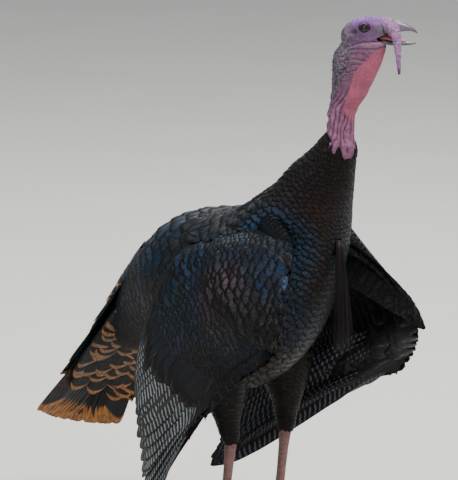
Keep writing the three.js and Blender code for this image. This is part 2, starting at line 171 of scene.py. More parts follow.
VANE_THICK = 0.4
FLIGHT_THICK = 0.5
PIECE_LIMIT = 190000  # triangles in one piece of the coat
PATCH = 0.003  # side of a feather's place on the bake map
SHOULDER_GLEAM = np.array([115.0, 85.0, 505.0])  # middle of the blue gleam, mirrored to the other side
WING_GLEAM = np.array([95.0, 150.0, 420.0])  # middle of the rosy gleam of the coverts
CAPE_GLEAM = np.array([95.0, 150.0, 430.0])

VIEW_TARGET = (-89, 32, 475)
VIEW_AZIMUTH = 42  # degrees round from the front of the world
VIEW_RISE = 10
VIEW_FAR = 12.0  # metres
VIEW_LENS = 562.5
LAMP_FAR = 4.0  # metres

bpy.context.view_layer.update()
_eyes = [np.mean([np.array(c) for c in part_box("eye_" + side)], axis=0) for side in ("left", "right")]
SHIFT = EYE_MID - 1000 * np.mean(_eyes, axis=0)
RNG = np.random.default_rng(7)


def metres(points):
    return (np.asarray(points, float) - SHIFT) * 0.001


def millimetres(points):
    return np.asarray(points, float) * 1000 + SHIFT


def mix(a, b, t):
    return a + (b - a) * t


def ease(lo, hi, x):
    t = np.clip((np.asarray(x, float) - lo) / (hi - lo), 0, 1)
    return t * t * (3 - 2 * t)


def unit(v):
    return v / np.maximum(np.linalg.norm(v, axis=-1, keepdims=True), 1e-9)


def rgb(*values):
    return np.array(values, float)


def curve(table, t):
    """Places along a smooth curve through the rows of a table."""
    rows = np.asarray(table, float)
    t = np.asarray(t, float)
    k = np.clip(np.floor(t), 0, len(rows) - 2).astype(int)
    f = (t - k)[..., None]
    a, b, d, e = (rows[np.clip(k + i, 0, len(rows) - 1)] for i in (-1, 0, 1, 2))
    return b + 0.5 * f * (d - a + f * (2 * a - 5 * b + 4 * d - e + f * (3 * (b - d) + e - a)))


_yaw = math.radians(HEAD_YAW)
FACE = np.array([math.cos(_yaw), math.sin(_yaw), 0])
CHEEK = np.array([-math.sin(_yaw), math.cos(_yaw), 0])
UP = np.array([0.0, 0, 1])


def head_point(ahead, left, up):
    ahead, left, up = (np.asarray(v, float)[..., None] for v in (ahead, left, up))
    return EYE_MID + ahead * FACE + left * CHEEK + up * UP


def head_place(points):
    """Ahead, left and up of the middle of the eyes."""
    d = np.asarray(points, float) - EYE_MID
    return d @ FACE, d @ CHEEK, d[..., 2]


def hashed(cells, seed):
    """A random value from 0 to 1 for every cell of whole numbers."""
    c = cells.astype(np.int64)
    h = c[..., 0] * 73856093 ^ c[..., 1] * 19349663 ^ c[..., 2] * 83492791 ^ (seed * 2654435761)
    h = (h ^ (h >> 13)) * 1274126177 & 0x7FFFFFFF
    return ((h ^ (h >> 15)) & 0xFFFFF) / 0xFFFFF


def grain(points, size, seed=0):
    """Smooth noise from 0 to 1 with lumps of about the given size."""
    q = np.asarray(points, float) / size
    base = np.floor(q)
    f = q - base
    f = f * f * (3 - 2 * f)
    total = np.zeros(q.shape[:-1])
    for corner in np.ndindex(2, 2, 2):
        w = np.prod(np.where(np.array(corner) == 1, f, 1 - f), axis=-1)
        total += w * hashed(base + np.array(corner), seed)
    return total


def warts(points, size, seed=0):
    """Round bumps: 1 at the top of each and 0 between them."""
    q = np.asarray(points, float) / size
    base = np.floor(q)
    near = np.full(q.shape[:-1], 9.0)
    for corner in np.ndindex(3, 3, 3):
        cell = base + np.array(corner) - 1
        seat = cell + 0.2 + 0.6 * np.stack([hashed(cell, seed + i) for i in range(3)], axis=-1)
        near = np.minimum(near, np.linalg.norm(q - seat, axis=-1))
    return np.sqrt(np.clip(1 - (near / 0.72) ** 2, 0, 1))


class Sheet:
    """A grid of points over the bird: the first index runs the way the feathers lie."""

    def __init__(self, points, closed=False, away=None):
        self.points = np.asarray(points, float)
        self.closed = closed
        self.rows, self.cols = self.points.shape[:2]
        along = np.gradient(self.points, axis=0)
        if closed:
            across = (np.roll(self.points, -1, 1) - np.roll(self.points, 1, 1)) / 2
        else:
            across = np.gradient(self.points, axis=1)
        normal = unit(np.cross(along, across))
        out = self.points - self.points.mean(1, keepdims=True) if away is None else np.asarray(away, float)
        self.flip = 1 if np.sum(normal * out) > 0 else -1
        self.along, self.across, self.normal = along, across, normal * self.flip

    def at(self, s, c, *grids):
        s = np.clip(np.asarray(s, float), -2, self.rows + 12)
        c = np.asarray(c, float) if self.closed else np.clip(np.asarray(c, float), -1.5, self.cols + 0.5)
        i = np.clip(np.floor(s), 0, self.rows - 2).astype(int)
        f = (s - i)[..., None]
        if self.closed:
            j = np.floor(c).astype(int)
            g = (c - j)[..., None]
            j, k = j % self.cols, (j + 1) % self.cols
        else:
            j = np.clip(np.floor(c), 0, self.cols - 2).astype(int)
            g = (c - j)[..., None]
            k = j + 1
        found = []
        for grid in grids or (self.points,):
            h, w = (f, g) if grid is self.points else (np.clip(f, 0, 1), np.clip(g, 0, 1))
            found.append(mix(mix(grid[i, j], grid[i, k], w), mix(grid[i + 1, j], grid[i + 1, k], w), h))
        return found if len(found) > 1 else found[0]

    def step(self, s, c, ahead, aside, turn=0.0):
        """Where a feather's point lies when it is so far along and across from a place."""
        ps, pc, n = self.at(s, c, self.along, self.across, self.normal)
        n = unit(n)
        t = unit(ps)
        a = unit(np.cross(n, t))
        turn = np.asarray(turn, float)[..., None]
        move = ahead[..., None] * (np.cos(turn) * t + np.sin(turn) * a)
        move = move + aside[..., None] * (np.cos(turn) * a - np.sin(turn) * t)
        e, f, g = (ps * ps).sum(-1), (ps * pc).sum(-1), (pc * pc).sum(-1)
        x, y = (move * ps).sum(-1), (move * pc).sum(-1)
        det = np.maximum(e * g - f * f, 0.08 * e * g + 1e-9)
        return s + (g * x - f * y) / det, c + (e * y - f * x) / det


def lattice(sheet, columns, start, stop, shows, jitter=0.0):
    """Roots in staggered columns, each row as far behind the last as a feather shows there."""
    c = (np.arange(columns) + 0.5) * (sheet.cols if sheet.closed else sheet.cols - 1) / columns
    s = np.full(columns, float(start))
    found = []
    for k in range(400):
        ps, pc = sheet.at(s, c, sheet.along, sheet.across)
        step = shows(sheet.at(s, c), s, c, np.linalg.norm(pc, axis=-1) * (c[1] - c[0]))
        step = step / np.maximum(np.linalg.norm(ps, axis=-1), 1e-6)
        if k == 0:
            s = s + step * 0.5 * (np.arange(columns) % 2)
            ps, pc = sheet.at(s, c, sheet.along, sheet.across)
        live = s < stop
        if not live.any():
            break
        width = np.linalg.norm(pc, axis=-1) * (c[1] - c[0])
        order = np.nonzero(live)[0]
        shift = RNG.uniform(-jitter, jitter, (2, len(order)))
        found.append(np.stack([s[order] + shift[0] * step[order], c[order] + shift[1] * (c[1] - c[0]),
                               width[order], (step * np.linalg.norm(ps, axis=-1))[order]], axis=1))
        s = s + step
    return np.concatenate(found)


def vane(across, along, kind="body"):
    """A flat feather of unit size as a closed sheet: grid place, outline place, faces."""
    bm = bmesh.new()
    bmesh.ops.create_grid(bm, x_segments=across, y_segments=along, size=1)
    bmesh.ops.solidify(bm, geom=bm.faces[:], thickness=1)
    bmesh.ops.recalc_face_normals(bm, faces=bm.faces[:])
    co = np.array([v.co for v in bm.verts])
    faces = np.array([[v.index for v in f.verts] for f in bm.faces])
    bm.free()
    x, y, z = co[:, 0], (co[:, 1] + 1) / 2, co[:, 2] - co[:, 2].max()
    stops, widths, blunt = VANES[kind]
    wide = np.interp(y, stops, widths)
    reach = y - blunt * x * x * ease(0.45, 1, y)
    return {"x": x, "y": y, "wide": x * wide, "reach": reach, "z": z, "faces": faces}


VANES = {  # stations along the feather, its half width at each, how far the corners of the tip draw back
    "body": ((0, 0.15, 0.4, 0.65, 0.85, 0.95, 1), (0.22, 0.5, 0.86, 1, 0.97, 0.83, 0.62), 0.13),
    "neck": ((0, 0.2, 0.5, 0.75, 0.9, 1), (0.3, 0.7, 1, 0.95, 0.75, 0.4), 0.12),
    "covert": ((0, 0.2, 0.5, 0.75, 0.92, 1), (0.35, 0.75, 0.97, 1, 0.86, 0.6), 0.09),
    "flight": ((0, 0.1, 0.3, 0.75, 0.9, 0.97, 1), (0.2, 0.7, 1, 1, 0.85, 0.55, 0.3), 0.02),
    "tail": ((0, 0.15, 0.5, 0.85, 0.95, 1), (0.3, 0.7, 0.92, 1, 0.92, 0.72), 0.05),
}


def lay(sheet, roots, shape, length, width, turn, lift, slope, camber, roll, thick, end, level, drift):
    """Points of feathers laid along a sheet, rising from root to tip so that each clears the one behind.

    With an end row the feathers keep their own straight shafts and take their level from one row.
    """
    n = len(roots)
    aside = shape["wide"][None, :] * width[:, None] / 2
    place = np.clip(shape["reach"], 0, 1)
    if end is None:
        s, c = roots[:, 0], roots[:, 1]
        spine = [(s, c)]
        steps = 8
        for _ in range(steps):
            s, c = sheet.step(s, c, length / steps, np.zeros(n), turn)
            spine.append((s, c))
        spine = np.array(spine)
        k = np.clip(np.floor(place * steps), 0, steps - 1).astype(int)
        f = (place * steps - k)[None, :]
        s = mix(spine[k, 0].T, spine[k + 1, 0].T, f)
        c = mix(spine[k, 1].T, spine[k + 1, 1].T, f)
        s, c = sheet.step(s, c, np.zeros_like(aside), aside, turn[:, None] + np.zeros_like(aside))
        p, normal = sheet.at(s, c, sheet.points, sheet.normal)
    else:
        s = mix(roots[:, :1], np.broadcast_to(end, n)[:, None], place[None, :])
        side = np.zeros(n) if drift is None else drift
        c = roots[:, 1:2] + side[:, None] * place[None, :]
        p, run, over = sheet.at(s, c, sheet.points, sheet.along, sheet.across)
        reach = np.broadcast_to(end, n) - roots[:, 0]
        run = unit(run * reach[:, None, None] + over * side[:, None, None])
        normal = sheet.at(np.minimum(s, level), c, sheet.normal)
        normal = unit(normal - run * (normal * run).sum(-1, keepdims=True))
        p = p + np.cross(normal, run) * aside[..., None]
    x, y = shape["wide"][None, :], shape["reach"][None, :]
    high = lift[:, None] + slope[:, None] * y * length[:, None] - camber * width[:, None] * x * x
    high = high + roll[:, None] * aside
    return p + unit(normal) * (high + thick * shape["z"][None, :])[..., None]


def place_piece(name, mesh, material, replaces=()):
    """Puts a finished mesh into the scene as a piece of the bird."""
    mesh.materials.append(material)
    piece = bpy.data.objects.new(name, mesh)
    bpy.context.scene.collection.objects.link(piece)
    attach(piece, "root")
    if replaces:
        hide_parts(*replaces)
    return piece


def joined_mesh(name, points, faces):
    """One smooth mesh of many copies of a modelled shape: their points and their equal-sided faces."""
    mesh = bpy.data.meshes.new(name)
    mesh.vertices.add(len(points))
    mesh.vertices.foreach_set("co", metres(points).ravel())
    mesh.loops.add(faces.size)
    mesh.loops.foreach_set("vertex_index", faces.ravel().astype(np.int32))
    mesh.polygons.add(len(faces))
    mesh.polygons.foreach_set("loop_start", np.arange(0, faces.size, faces.shape[1], dtype=np.int32))
    mesh.update(calc_edges=True)
    mesh.polygons.foreach_set("use_smooth", np.ones(len(faces), bool))
    return mesh


def copied_faces(faces, copies, points):
    """The faces of one shape repeated for each copy, with so many points in each."""
    return (faces[None] + (np.arange(copies) * points)[:, None, None]).reshape(-1, faces.shape[1])


def add_map(mesh, name, faces, places):
    layer = mesh.uv_layers.new(name=name)
    layer.uv.foreach_set("vector", places[faces.ravel()].ravel())


def feathers(name, points, shape, looks, patch, material):
    """One piece of the coat: looks are each feather's tint, edge and seed, patch its corner and size."""
    n, k = points.shape[:2]
    tint, edge, seed = looks
    corner, extent = patch
    faces = copied_faces(shape["faces"], n, k)
    mesh = joined_mesh(name, points.reshape(-1, 3), faces)
    flat = np.stack([(shape["x"] + 1) / 2, shape["y"]], 1)
    add_map(mesh, "OFBake", faces, (corner[:, None, :] + extent[:, None, :] * flat[None]).reshape(-1, 2))
    add_map(mesh, "vane", faces, np.tile(flat, (n, 1)))
    for label, values in (("tint", tint), ("edge", edge)):
        full = np.concatenate([np.repeat(values, k, axis=0), np.ones((n * k, 1))], axis=1)
        mesh.attributes.new(label, "FLOAT_COLOR", "POINT").data.foreach_set("color", full.ravel())
    mesh.attributes.new("seed", "FLOAT", "POINT").data.foreach_set("value", np.repeat(seed, k))
    return place_piece(name, mesh, material)


def patches(sheet, roots, size):
    """Bake corners at the roots' places on the unrolled sheet."""
    across = sheet.cols if sheet.closed else sheet.cols - 1
    u = (roots[:, 1] % sheet.cols if sheet.closed else roots[:, 1]) / across
    v = roots[:, 0] / (sheet.rows - 1)
    corner = np.clip(np.stack([u, v], 1), 0.002, 0.994)
    return corner, np.full((len(roots), 2), size)


def finish_bmesh(name, bm, material, smooth=True, replaces=()):
    bmesh.ops.recalc_face_normals(bm, faces=bm.faces[:])
    for face in bm.faces:
        face.smooth = smooth
    mesh = bpy.data.meshes.new(name)
    bm.to_mesh(mesh)
    bm.free()
    return place_piece(name, mesh, material, replaces)


def sweep(bm, rings):
    """Adds a closed body through rings of points: a circle extruded from each ring to the next."""
    rings = metres(rings)
    key = bm.verts.layers.int.get("place") or bm.verts.layers.int.new("place")
    ring = bmesh.ops.create_circle(bm, cap_ends=True, segments=rings.shape[1], radius=1)["verts"]
    for i, vert in enumerate(ring):
        vert[key] = i
        vert.co = rings[0][i]
    edges = list({e for v in ring for e in v.link_edges})
    cap = list({f for v in ring for f in v.link_faces})
    for points in rings[1:]:
        grown = bmesh.ops.extrude_edge_only(bm, edges=edges)["geom"]
        verts = {g for g in grown if isinstance(g, bmesh.types.BMVert)}
        for vert in verts:
            vert.co = points[vert[key]]
        edges = [g for g in grown if isinstance(g, bmesh.types.BMEdge) and set(g.verts) <= verts]
    cap += bmesh.ops.holes_fill(bm, edges=edges)["faces"]
    bmesh.ops.poke(bm, faces=cap)


def oval_rings(table, count, around, power=1.0):
    """Rings round the head's own axis through rows of: ahead, top, bottom, half width."""
    t = np.linspace(0, len(table) - 1, count)
    row = curve(table, t)
    a = np.linspace(0, 2 * np.pi, around, endpoint=False)
    up = np.sign(np.cos(a)) * np.abs(np.cos(a)) ** power
    side = np.sign(np.sin(a)) * np.abs(np.sin(a)) ** power
    mid, size = (row[:, 1] + row[:, 2]) / 2, (row[:, 1] - row[:, 2]) / 2
    ahead = np.repeat(row[:, :1], around, 1)
    return head_point(ahead, row[:, 3:4] * side, mid[:, None] + size[:, None] * up)


def tube_rings(table, count, around):
    """Rings round a bent axis through rows of: x, y, z, radius."""
    t = np.linspace(0, len(table) - 1, count)
    row = curve(table, t)
    run = unit(np.gradient(row[:, :3], axis=0))
    first = np.cross(run[0], [0, 0, 1.0] if abs(run[0, 2]) < 0.9 else [0, 1.0, 0])
    sides = []
    for r in run:
        first = first - r * (first @ r)
        first = first / np.linalg.norm(first)
        sides.append(first)
    sides = np.array(sides)
    other = np.cross(run, sides)
    a = np.linspace(0, 2 * np.pi, around, endpoint=False)[None, :, None]
    return row[:, None, :3] + row[:, None, 3:4] * (np.cos(a) * sides[:, None] + np.sin(a) * other[:, None])


class Shader:
    """Builds the nodes of one material."""

    def __init__(self, name, **constants):
        self.material = bpy.data.materials.new(name)
        self.material.use_nodes = True
        self.tree = self.material.node_tree
        self.surface = self.tree.nodes["Principled BSDF"]
        for label, value in constants.items():
            self.surface.inputs[label.replace("_", " ")].default_value = value

    def put(self, socket, value):
        if isinstance(value, bpy.types.NodeSocket):
            self.tree.links.new(value, socket)
        elif hasattr(value, "__len__") and socket.type == "RGBA":
            socket.default_value = (*value, 1)
        else:
            socket.default_value = value
        return self

    def math(self, op, a, b=0.0, clamp=False):
        node = self.tree.nodes.new("ShaderNodeMath")
        node.operation = op
        node.use_clamp = clamp
        self.put(node.inputs[0], a).put(node.inputs[1], b)
        return node.outputs[0]

    def mix(self, factor, a, b, blend="MIX"):
        node = self.tree.nodes.new("ShaderNodeMix")
        node.data_type = "RGBA"
        node.blend_type = blend
        self.put(node.inputs[0], factor).put(node.inputs[6], a).put(node.inputs[7], b)
        return node.outputs[2]

    def smooth(self, value, lo, hi, out=(0.0, 1.0)):
        node = self.tree.nodes.new("ShaderNodeMapRange")
        node.interpolation_type = "SMOOTHSTEP"
        for i, v in enumerate((value, lo, hi, *out)):
            self.put(node.inputs[i], v)
        return node.outputs[0]

    def noise(self, where, scale, detail=2.0, rough=0.5):
        node = self.tree.nodes.new("ShaderNodeTexNoise")
        self.put(node.inputs["Vector"], where).put(node.inputs["Scale"], scale)
        self.put(node.inputs["Detail"], detail).put(node.inputs["Roughness"], rough)
        return node.outputs[0]

    def cells(self, where, scale, feature="F1"):
        node = self.tree.nodes.new("ShaderNodeTexVoronoi")
        node.feature = feature
        self.put(node.inputs["Vector"], where).put(node.inputs["Scale"], scale)
        return node.outputs["Distance"]

    def place(self):
        return self.tree.nodes.new("ShaderNodeTexCoord").outputs["Object"]

    def height(self):
        split = self.tree.nodes.new("ShaderNodeSeparateXYZ")
        self.put(split.inputs[0], self.place())
        return split.outputs[2]

    def attribute(self, name, output="Color"):
        node = self.tree.nodes.new("ShaderNodeAttribute")
        node.attribute_name = name
        return node.outputs[output]

    def vane(self):
        """Across the feather from -1 to 1, and along it from 0 to 1."""
        node = self.tree.nodes.new("ShaderNodeUVMap")
        node.uv_map = "vane"
        split = self.tree.nodes.new("ShaderNodeSeparateXYZ")
        self.put(split.inputs[0], node.outputs[0])
        x = self.math("SUBTRACT", self.math("MULTIPLY", split.outputs[0], 2.0), 1.0)
        return x, split.outputs[1]

    def join(self, x, y, z=0.0):
        node = self.tree.nodes.new("ShaderNodeCombineXYZ")
        self.put(node.inputs[0], x).put(node.inputs[1], y).put(node.inputs[2], z)
        return node.outputs[0]

    def bump(self, height, strength, distance):
        node = self.tree.nodes.new("ShaderNodeBump")
        self.put(node.inputs["Strength"], strength).put(node.inputs["Distance"], distance)
        self.put(node.inputs["Height"], height)
        self.put(self.surface.inputs["Normal"], node.outputs[0])

    def set(self, **values):
        for label, value in values.items():
            self.put(self.surface.inputs[label.replace("_", " ")], value)
        return self.material


FULL_TURN = 6.2832


def barbs(s, x, y, count):
    """Slanted barb lines on both sides of the shaft, and the shaft itself."""
    slant = s.math("SUBTRACT", y, s.math("MULTIPLY", s.math("ABSOLUTE", x), 0.22))
    wave = s.math("SINE", s.math("MULTIPLY", slant, count * FULL_TURN))
    shaft = s.smooth(s.math("ABSOLUTE", x), 0.02, 0.07, (1.0, 0.0))
    return wave, shaft


def contour_material(name):
    """Dark feathers with a glossy, tinted middle, a velvet band before the tip and a fine fringe."""
    s = Shader(name, Roughness=0.45, Specular_IOR_Level=0.11)
    x, y = s.vane()
    seed = s.attribute("seed", "Fac")
    wave, shaft = barbs(s, x, y, 46.0)
    tint, edge = s.attribute("tint"), s.attribute("edge")
    where = s.join(s.math("MULTIPLY", x, 2.0), s.math("MULTIPLY", y, 5.0), s.math("MULTIPLY", seed, 91.0))
    cloud = s.noise(where, 1.6, 3.0)
    round_y = s.math("ADD", y, s.math("MULTIPLY", s.math("MULTIPLY", x, x), 0.10))
    ragged = s.math("ADD", round_y, s.math("MULTIPLY", s.math("SUBTRACT", cloud, 0.5), 0.05))
    band = s.smooth(ragged, 0.80, 0.87)
    fringe = s.smooth(round_y, 1.0, 1.035)
    dark = s.smooth(y, 0.15, 0.6)
    glow = s.math("MULTIPLY", dark, s.smooth(cloud, 0.25, 0.75, (0.45, 1.0)))
    middle = s.mix(glow, (0.004, 0.004, 0.005), tint)
    colour = s.mix(band, middle, (0.0025, 0.0025, 0.003))
    colour = s.mix(fringe, colour, edge)
    colour = s.mix(s.math("MULTIPLY", shaft, 0.5), colour, (0.004, 0.003, 0.003))
    rough = s.math("ADD", s.math("MULTIPLY", band, 0.25), s.smooth(cloud, 0.2, 0.8, (0.30, 0.44)))
    metal = s.math("MULTIPLY", s.math("SUBTRACT", 1.0, band), 0.55)
    height = s.math("ADD", s.math("MULTIPLY", wave, 0.25), s.math("MULTIPLY", shaft, 1.5))
    s.bump(height, 0.35, 0.0002)
    return s.set(Base_Color=colour, Roughness=rough, Metallic=metal)


def flight_material(name, bars):
    """Blackish flight feathers crossed by pale bars."""
    s = Shader(name, Roughness=0.5, Specular_IOR_Level=0.16)
    x, y = s.vane()
    seed = s.attribute("seed", "Fac")
    wave, shaft = barbs(s, x, y, 160.0)
    tint, edge = s.attribute("tint"), s.attribute("edge")
    where = s.join(s.math("MULTIPLY", x, 1.5), s.math("MULTIPLY", y, 14.0), s.math("MULTIPLY", seed, 47.0))
    cloud = s.noise(where, 2.0, 4.0)
    lean = s.math("ADD", y, s.math("MULTIPLY", x, 0.034))
    ripple = s.math("ADD", s.math("MULTIPLY", lean, float(bars)), s.math("MULTIPLY", cloud, 0.7))
    ripple = s.math("ADD", ripple, seed)
    tooth = s.math("ABSOLUTE", s.math("SUBTRACT", s.math("FRACT", ripple), 0.5))
    bar = s.smooth(tooth, 0.29, 0.37)
    fade = s.math("MULTIPLY", s.smooth(y, 0.99, 0.94), s.smooth(s.math("ABSOLUTE", x), 0.08, 0.18))
    fade = s.math("MULTIPLY", fade, s.smooth(s.math("ABSOLUTE", x), 0.97, 0.86))
    bar = s.math("MULTIPLY", bar, s.math("MULTIPLY", fade, s.smooth(cloud, 0.25, 0.5, (0.45, 1.0))))
    # painted shade: the pale bars fade out above a set height on the wing
    bar = s.math("MULTIPLY", bar, s.smooth(s.height(), 0.338, 0.318))
    colour = s.mix(bar, tint, edge)
    colour = s.mix(s.math("MULTIPLY", shaft, 0.7), colour, (0.03, 0.022, 0.016))
    height = s.math("ADD", s.math("MULTIPLY", wave, 0.2), s.math("MULTIPLY", shaft, 2.0))
    s.bump(height, 0.35, 0.0003)
    return s.set(Base_Color=colour, Roughness=s.smooth(cloud, 0.2, 0.8, (0.42, 0.6)))


def tail_material(name, base, band, bars=26.0):
    """Barred feathers with a black band and a pale tip: the tint colours the middle, the edge the tip."""
    s = Shader(name, Roughness=0.45, Specular_IOR_Level=0.18)
    x, y = s.vane()
    seed = s.attribute("seed", "Fac")
    wave, shaft = barbs(s, x, y, 110.0)
    tint, edge = s.attribute("tint"), s.attribute("edge")
    where = s.join(s.math("MULTIPLY", x, 2.5), s.math("MULTIPLY", y, 9.0), s.math("MULTIPLY", seed, 33.0))
    cloud = s.noise(where, 2.2, 4.0)
    ripple = s.math("ADD", s.math("MULTIPLY", y, bars * FULL_TURN), s.math("MULTIPLY", cloud, 9.0))
    ripple = s.math("SINE", ripple)
    brown = s.mix(s.smooth(ripple, -0.2, 0.5), tint, base)
    round_y = s.math("ADD", y, s.math("MULTIPLY", s.math("MULTIPLY", x, x), 0.04))
    ragged = s.math("ADD", round_y, s.math("MULTIPLY", s.math("SUBTRACT", cloud, 0.5), 0.03))
    dark = s.smooth(ragged, band[0], band[0] + 0.03)
    tip = s.smooth(ragged, band[1], band[1] + 0.02)
    colour = s.mix(dark, brown, (0.004, 0.006, 0.006))
    colour = s.mix(tip, colour, s.mix(s.smooth(cloud, 0.3, 0.7), edge, (0.10, 0.04, 0.012)))
    colour = s.mix(s.math("MULTIPLY", shaft, 0.5), colour, (0.02, 0.012, 0.008))
    height = s.math("ADD", s.math("MULTIPLY", wave, 0.2), s.math("MULTIPLY", shaft, 2.0))
    s.bump(height, 0.35, 0.0003)
    metal = s.math("MULTIPLY", s.math("SUBTRACT", 1.0, dark), 0.3)
    return s.set(Base_Color=colour, Roughness=s.smooth(cloud, 0.2, 0.8, (0.36, 0.55)), Metallic=metal)


def skin_material():
    s = Shader("turkey_skin", Roughness=0.6, Specular_IOR_Level=0.2, Subsurface_Weight=0.12,
               Subsurface_Scale=0.004)
    s.surface.inputs["Subsurface Radius"].default_value = (1.0, 0.35, 0.3)
    where = s.place()
    base, bare = s.attribute("base"), s.attribute("bare", "Fac")
    mottle = s.noise(where, 260.0, 4.0, 0.6)
    cell = s.cells(where, 420.0)
    fold_shade = s.attribute("fold_shade", "Fac")
    pale = s.math("MULTIPLY", bare, s.smooth(cell, 0.42, 0.15, (0.0, 0.5)))
    colour = s.mix(pale, base, s.mix(0.35, base, (0.50, 0.38, 0.44)))
    colour = s.mix(s.math("MULTIPLY", bare, s.smooth(mottle, 0.5, 0.75, (0.0, 0.4))), colour,
                   s.mix(1.0, colour, (0.55, 0.42, 0.55), "MULTIPLY"))
    # painted shade: this share darkens the skin towards a deep tint in creases, grooves, lid seams and the
    # mouth gap
    deep = s.mix(1.0, colour, (0.28, 0.16, 0.22), "MULTIPLY")
    colour = s.mix(s.math("MULTIPLY", fold_shade, 0.75), colour, deep)
    height = s.math("ADD", s.math("MULTIPLY", cell, 0.8), s.math("MULTIPLY", mottle, 0.5))
    s.bump(height, 0.5, 0.0005)
    return s.set(Base_Color=colour)


def horn_material(name, light, dark, roughness=0.35):
    s = Shader(name, Roughness=roughness, Specular_IOR_Level=0.5)
    where = s.place()
    streak = s.noise(where, 120.0, 5.0, 0.65)
    tip = s.attribute("tip", "Fac")
    colour = s.mix(s.smooth(streak, 0.3, 0.7), light, s.mix(0.35, light, dark))
    # the tip share darkens the tips; on the bill it also carries painted shade at the nostril and over the
    # lower bill
    colour = s.mix(tip, colour, dark)
    s.bump(streak, 0.25, 0.0004)
    return s.set(Base_Color=colour)


def eye_material():
    s = Shader("turkey_eye", Roughness=0.45, Specular_IOR_Level=0.2)
    out = s.attribute("ring", "Fac")
    noise = s.noise(s.place(), 1400.0, 3.0)
    iris = s.mix(s.smooth(noise, 0.3, 0.7), (0.010, 0.004, 0.005), (0.030, 0.011, 0.010))
    colour = s.mix(s.smooth(out, 2.3, 2.6), (0.001, 0.001, 0.0015), iris)
    colour = s.mix(s.smooth(out, 3.8, 4.4), colour, (0.006, 0.004, 0.005))
    return s.set(Base_Color=colour)


def add_attribute(piece, name, values, kind="FLOAT"):
    data = piece.data.attributes.new(name, kind, "POINT").data
    values = np.asarray(values, float)
    if kind == "FLOAT":
        data.foreach_set("value", values.astype(np.float32))
    else:
        full = np.concatenate([values, np.ones((len(values), 1))], axis=1)
        data.foreach_set("color", full.ravel().astype(np.float32))


def points_of(piece):
    co = np.zeros(len(piece.data.vertices) * 3)
    piece.data.vertices.foreach_get("co", co)
    return millimetres(co.reshape(-1, 3))


def move_points(piece, points):
    piece.data.vertices.foreach_set("co", metres(points).ravel())
    piece.data.update()


def normals_of(piece):
    n = np.zeros(len(piece.data.vertices) * 3)
    piece.data.vertex_normals.foreach_get("vector", n)
    return n.reshape(-1, 3)


# ---------------------------------------------------------------- skin


def neck_place(points):
    """Bearing round the bare neck, 0 at the throat and pi at the nape, and distance from its axis."""
    rows = np.array(NECK)[::-1]
    z = points[..., 2]
    axis = np.stack([np.interp(z, rows[:, 2], rows[:, i]) for i in (0, 1)], axis=-1)
    turn = np.radians(np.interp(z, rows[:, 2], rows[:, 3]))
    d = points[..., :2] - axis
    front = d[..., 0] * np.cos(turn) + d[..., 1] * np.sin(turn)
    side = -d[..., 0] * np.sin(turn) + d[..., 1] * np.cos(turn)
    return np.arctan2(side, front), np.hypot(front, side)


def above_collar(points):
    """Distance above the slanting edge where the feathers of the neck begin."""
    return (points[..., 0] - COLLAR[0]) * COLLAR_SLOPE[0] + (points[..., 2] - COLLAR[1]) * COLLAR_SLOPE[1]


def on_legs(points):
    return np.abs(points[..., 1]) < LEG_SIDE


def bare_share(points):
    """1 on the bare head, neck and shanks and 0 under the feathers."""
    neck = ease(-4, 3, above_collar(points))
    for bearing, out, z, half, tall in BULBS:
        a = math.radians(bearing)
        seat = np.array([COLLAR[0] + out * math.cos(a), out * math.sin(a), z])
        d = np.linalg.norm((points - seat) / np.array([half, half, tall]), axis=-1)
        neck = np.maximum(neck, ease(1.35, 1.15, d))
    return np.maximum(neck, ease(190, 178, points[..., 2]) * on_legs(points))


def eye_place(points):
    """Ahead, left and up of the middle of the eyeballs."""
    ahead, left, up = head_place(points)
    return ahead + EYE_BACK, left, up


def mouth_gap(ahead, up):
    """Distance from the middle of the open mouth, 1 at its edges: it widens from the corner forward."""
    half = 1.2 + 0.36 * np.clip(ahead - 15, 0, 20)
    return np.abs(up - MOUTH_UP) / half


def lids(points):
    """Opens the skin over the eyes and raises the lids and their folds; also gives the share of painted shade
    in the creases of the lids and at their rim.
    """
    ahead, left, up = eye_place(points)
    fold_shade = np.zeros(len(points))
    out = points.copy()
    for side in (1, -1):
        across = left * side - EYE_OFFSET
        long = np.where(ahead > 0, 6.1, 5.8)
        tall = np.where(up > 0, 5.2, 4.9)
        ring = np.hypot(ahead / long, up / tall)
        near = (across > 0) & (ring < 3.4)
        flat = np.hypot(ahead, up)
        stops = [0, 0.82, 0.98, 1.1, 1.28, 1.45]
        radius = np.interp(ring, stops, [7.0, 7.2, 8.25, 8.95, 9.0, 8.7])
        wanted = np.sqrt(np.clip(radius**2 - flat**2, 1, None))
        share = ease(1.75, 1.35, ring)
        pushed = mix(across, wanted, share)
        wave = np.sin((ring - 1.2) * 2 * np.pi / 0.42)
        pushed = pushed + 0.42 * wave * ease(1.2, 1.4, ring) * ease(3.2, 2.2, ring)
        shift = np.where(near, pushed - across, 0)
        out += shift[:, None] * side * CHEEK
        # painted shade in the troughs of the lid rings and at the rim where the lid meets the eye
        seam = 0.55 * ease(0.2, -0.8, wave) * ease(1.3, 1.5, ring) * ease(3.2, 2.2, ring)
        seam = ease(1.2, 1.04, ring) + seam
        fold_shade = np.maximum(fold_shade, np.where(near, seam, 0))
    return out, fold_shade


def ear(points):
    """1 over the openings of the ears."""
    ahead, left, up = head_place(points)
    d = np.hypot((ahead + 19) / 6.0, (up + 7) / 5.0)
    return ease(1.3, 0.4, d) * (np.abs(left) > 8)


def throat_border(z):
    """Bearing at which the smooth throat gives way to the pebbled sides of the neck."""
    return np.radians(np.interp(z, [700, 712, 724, 740, 760, 783, 799, 814, 820, 828],
                                [0, 52, 64, 70, 77, 84, 55, 38, 16, 0]))


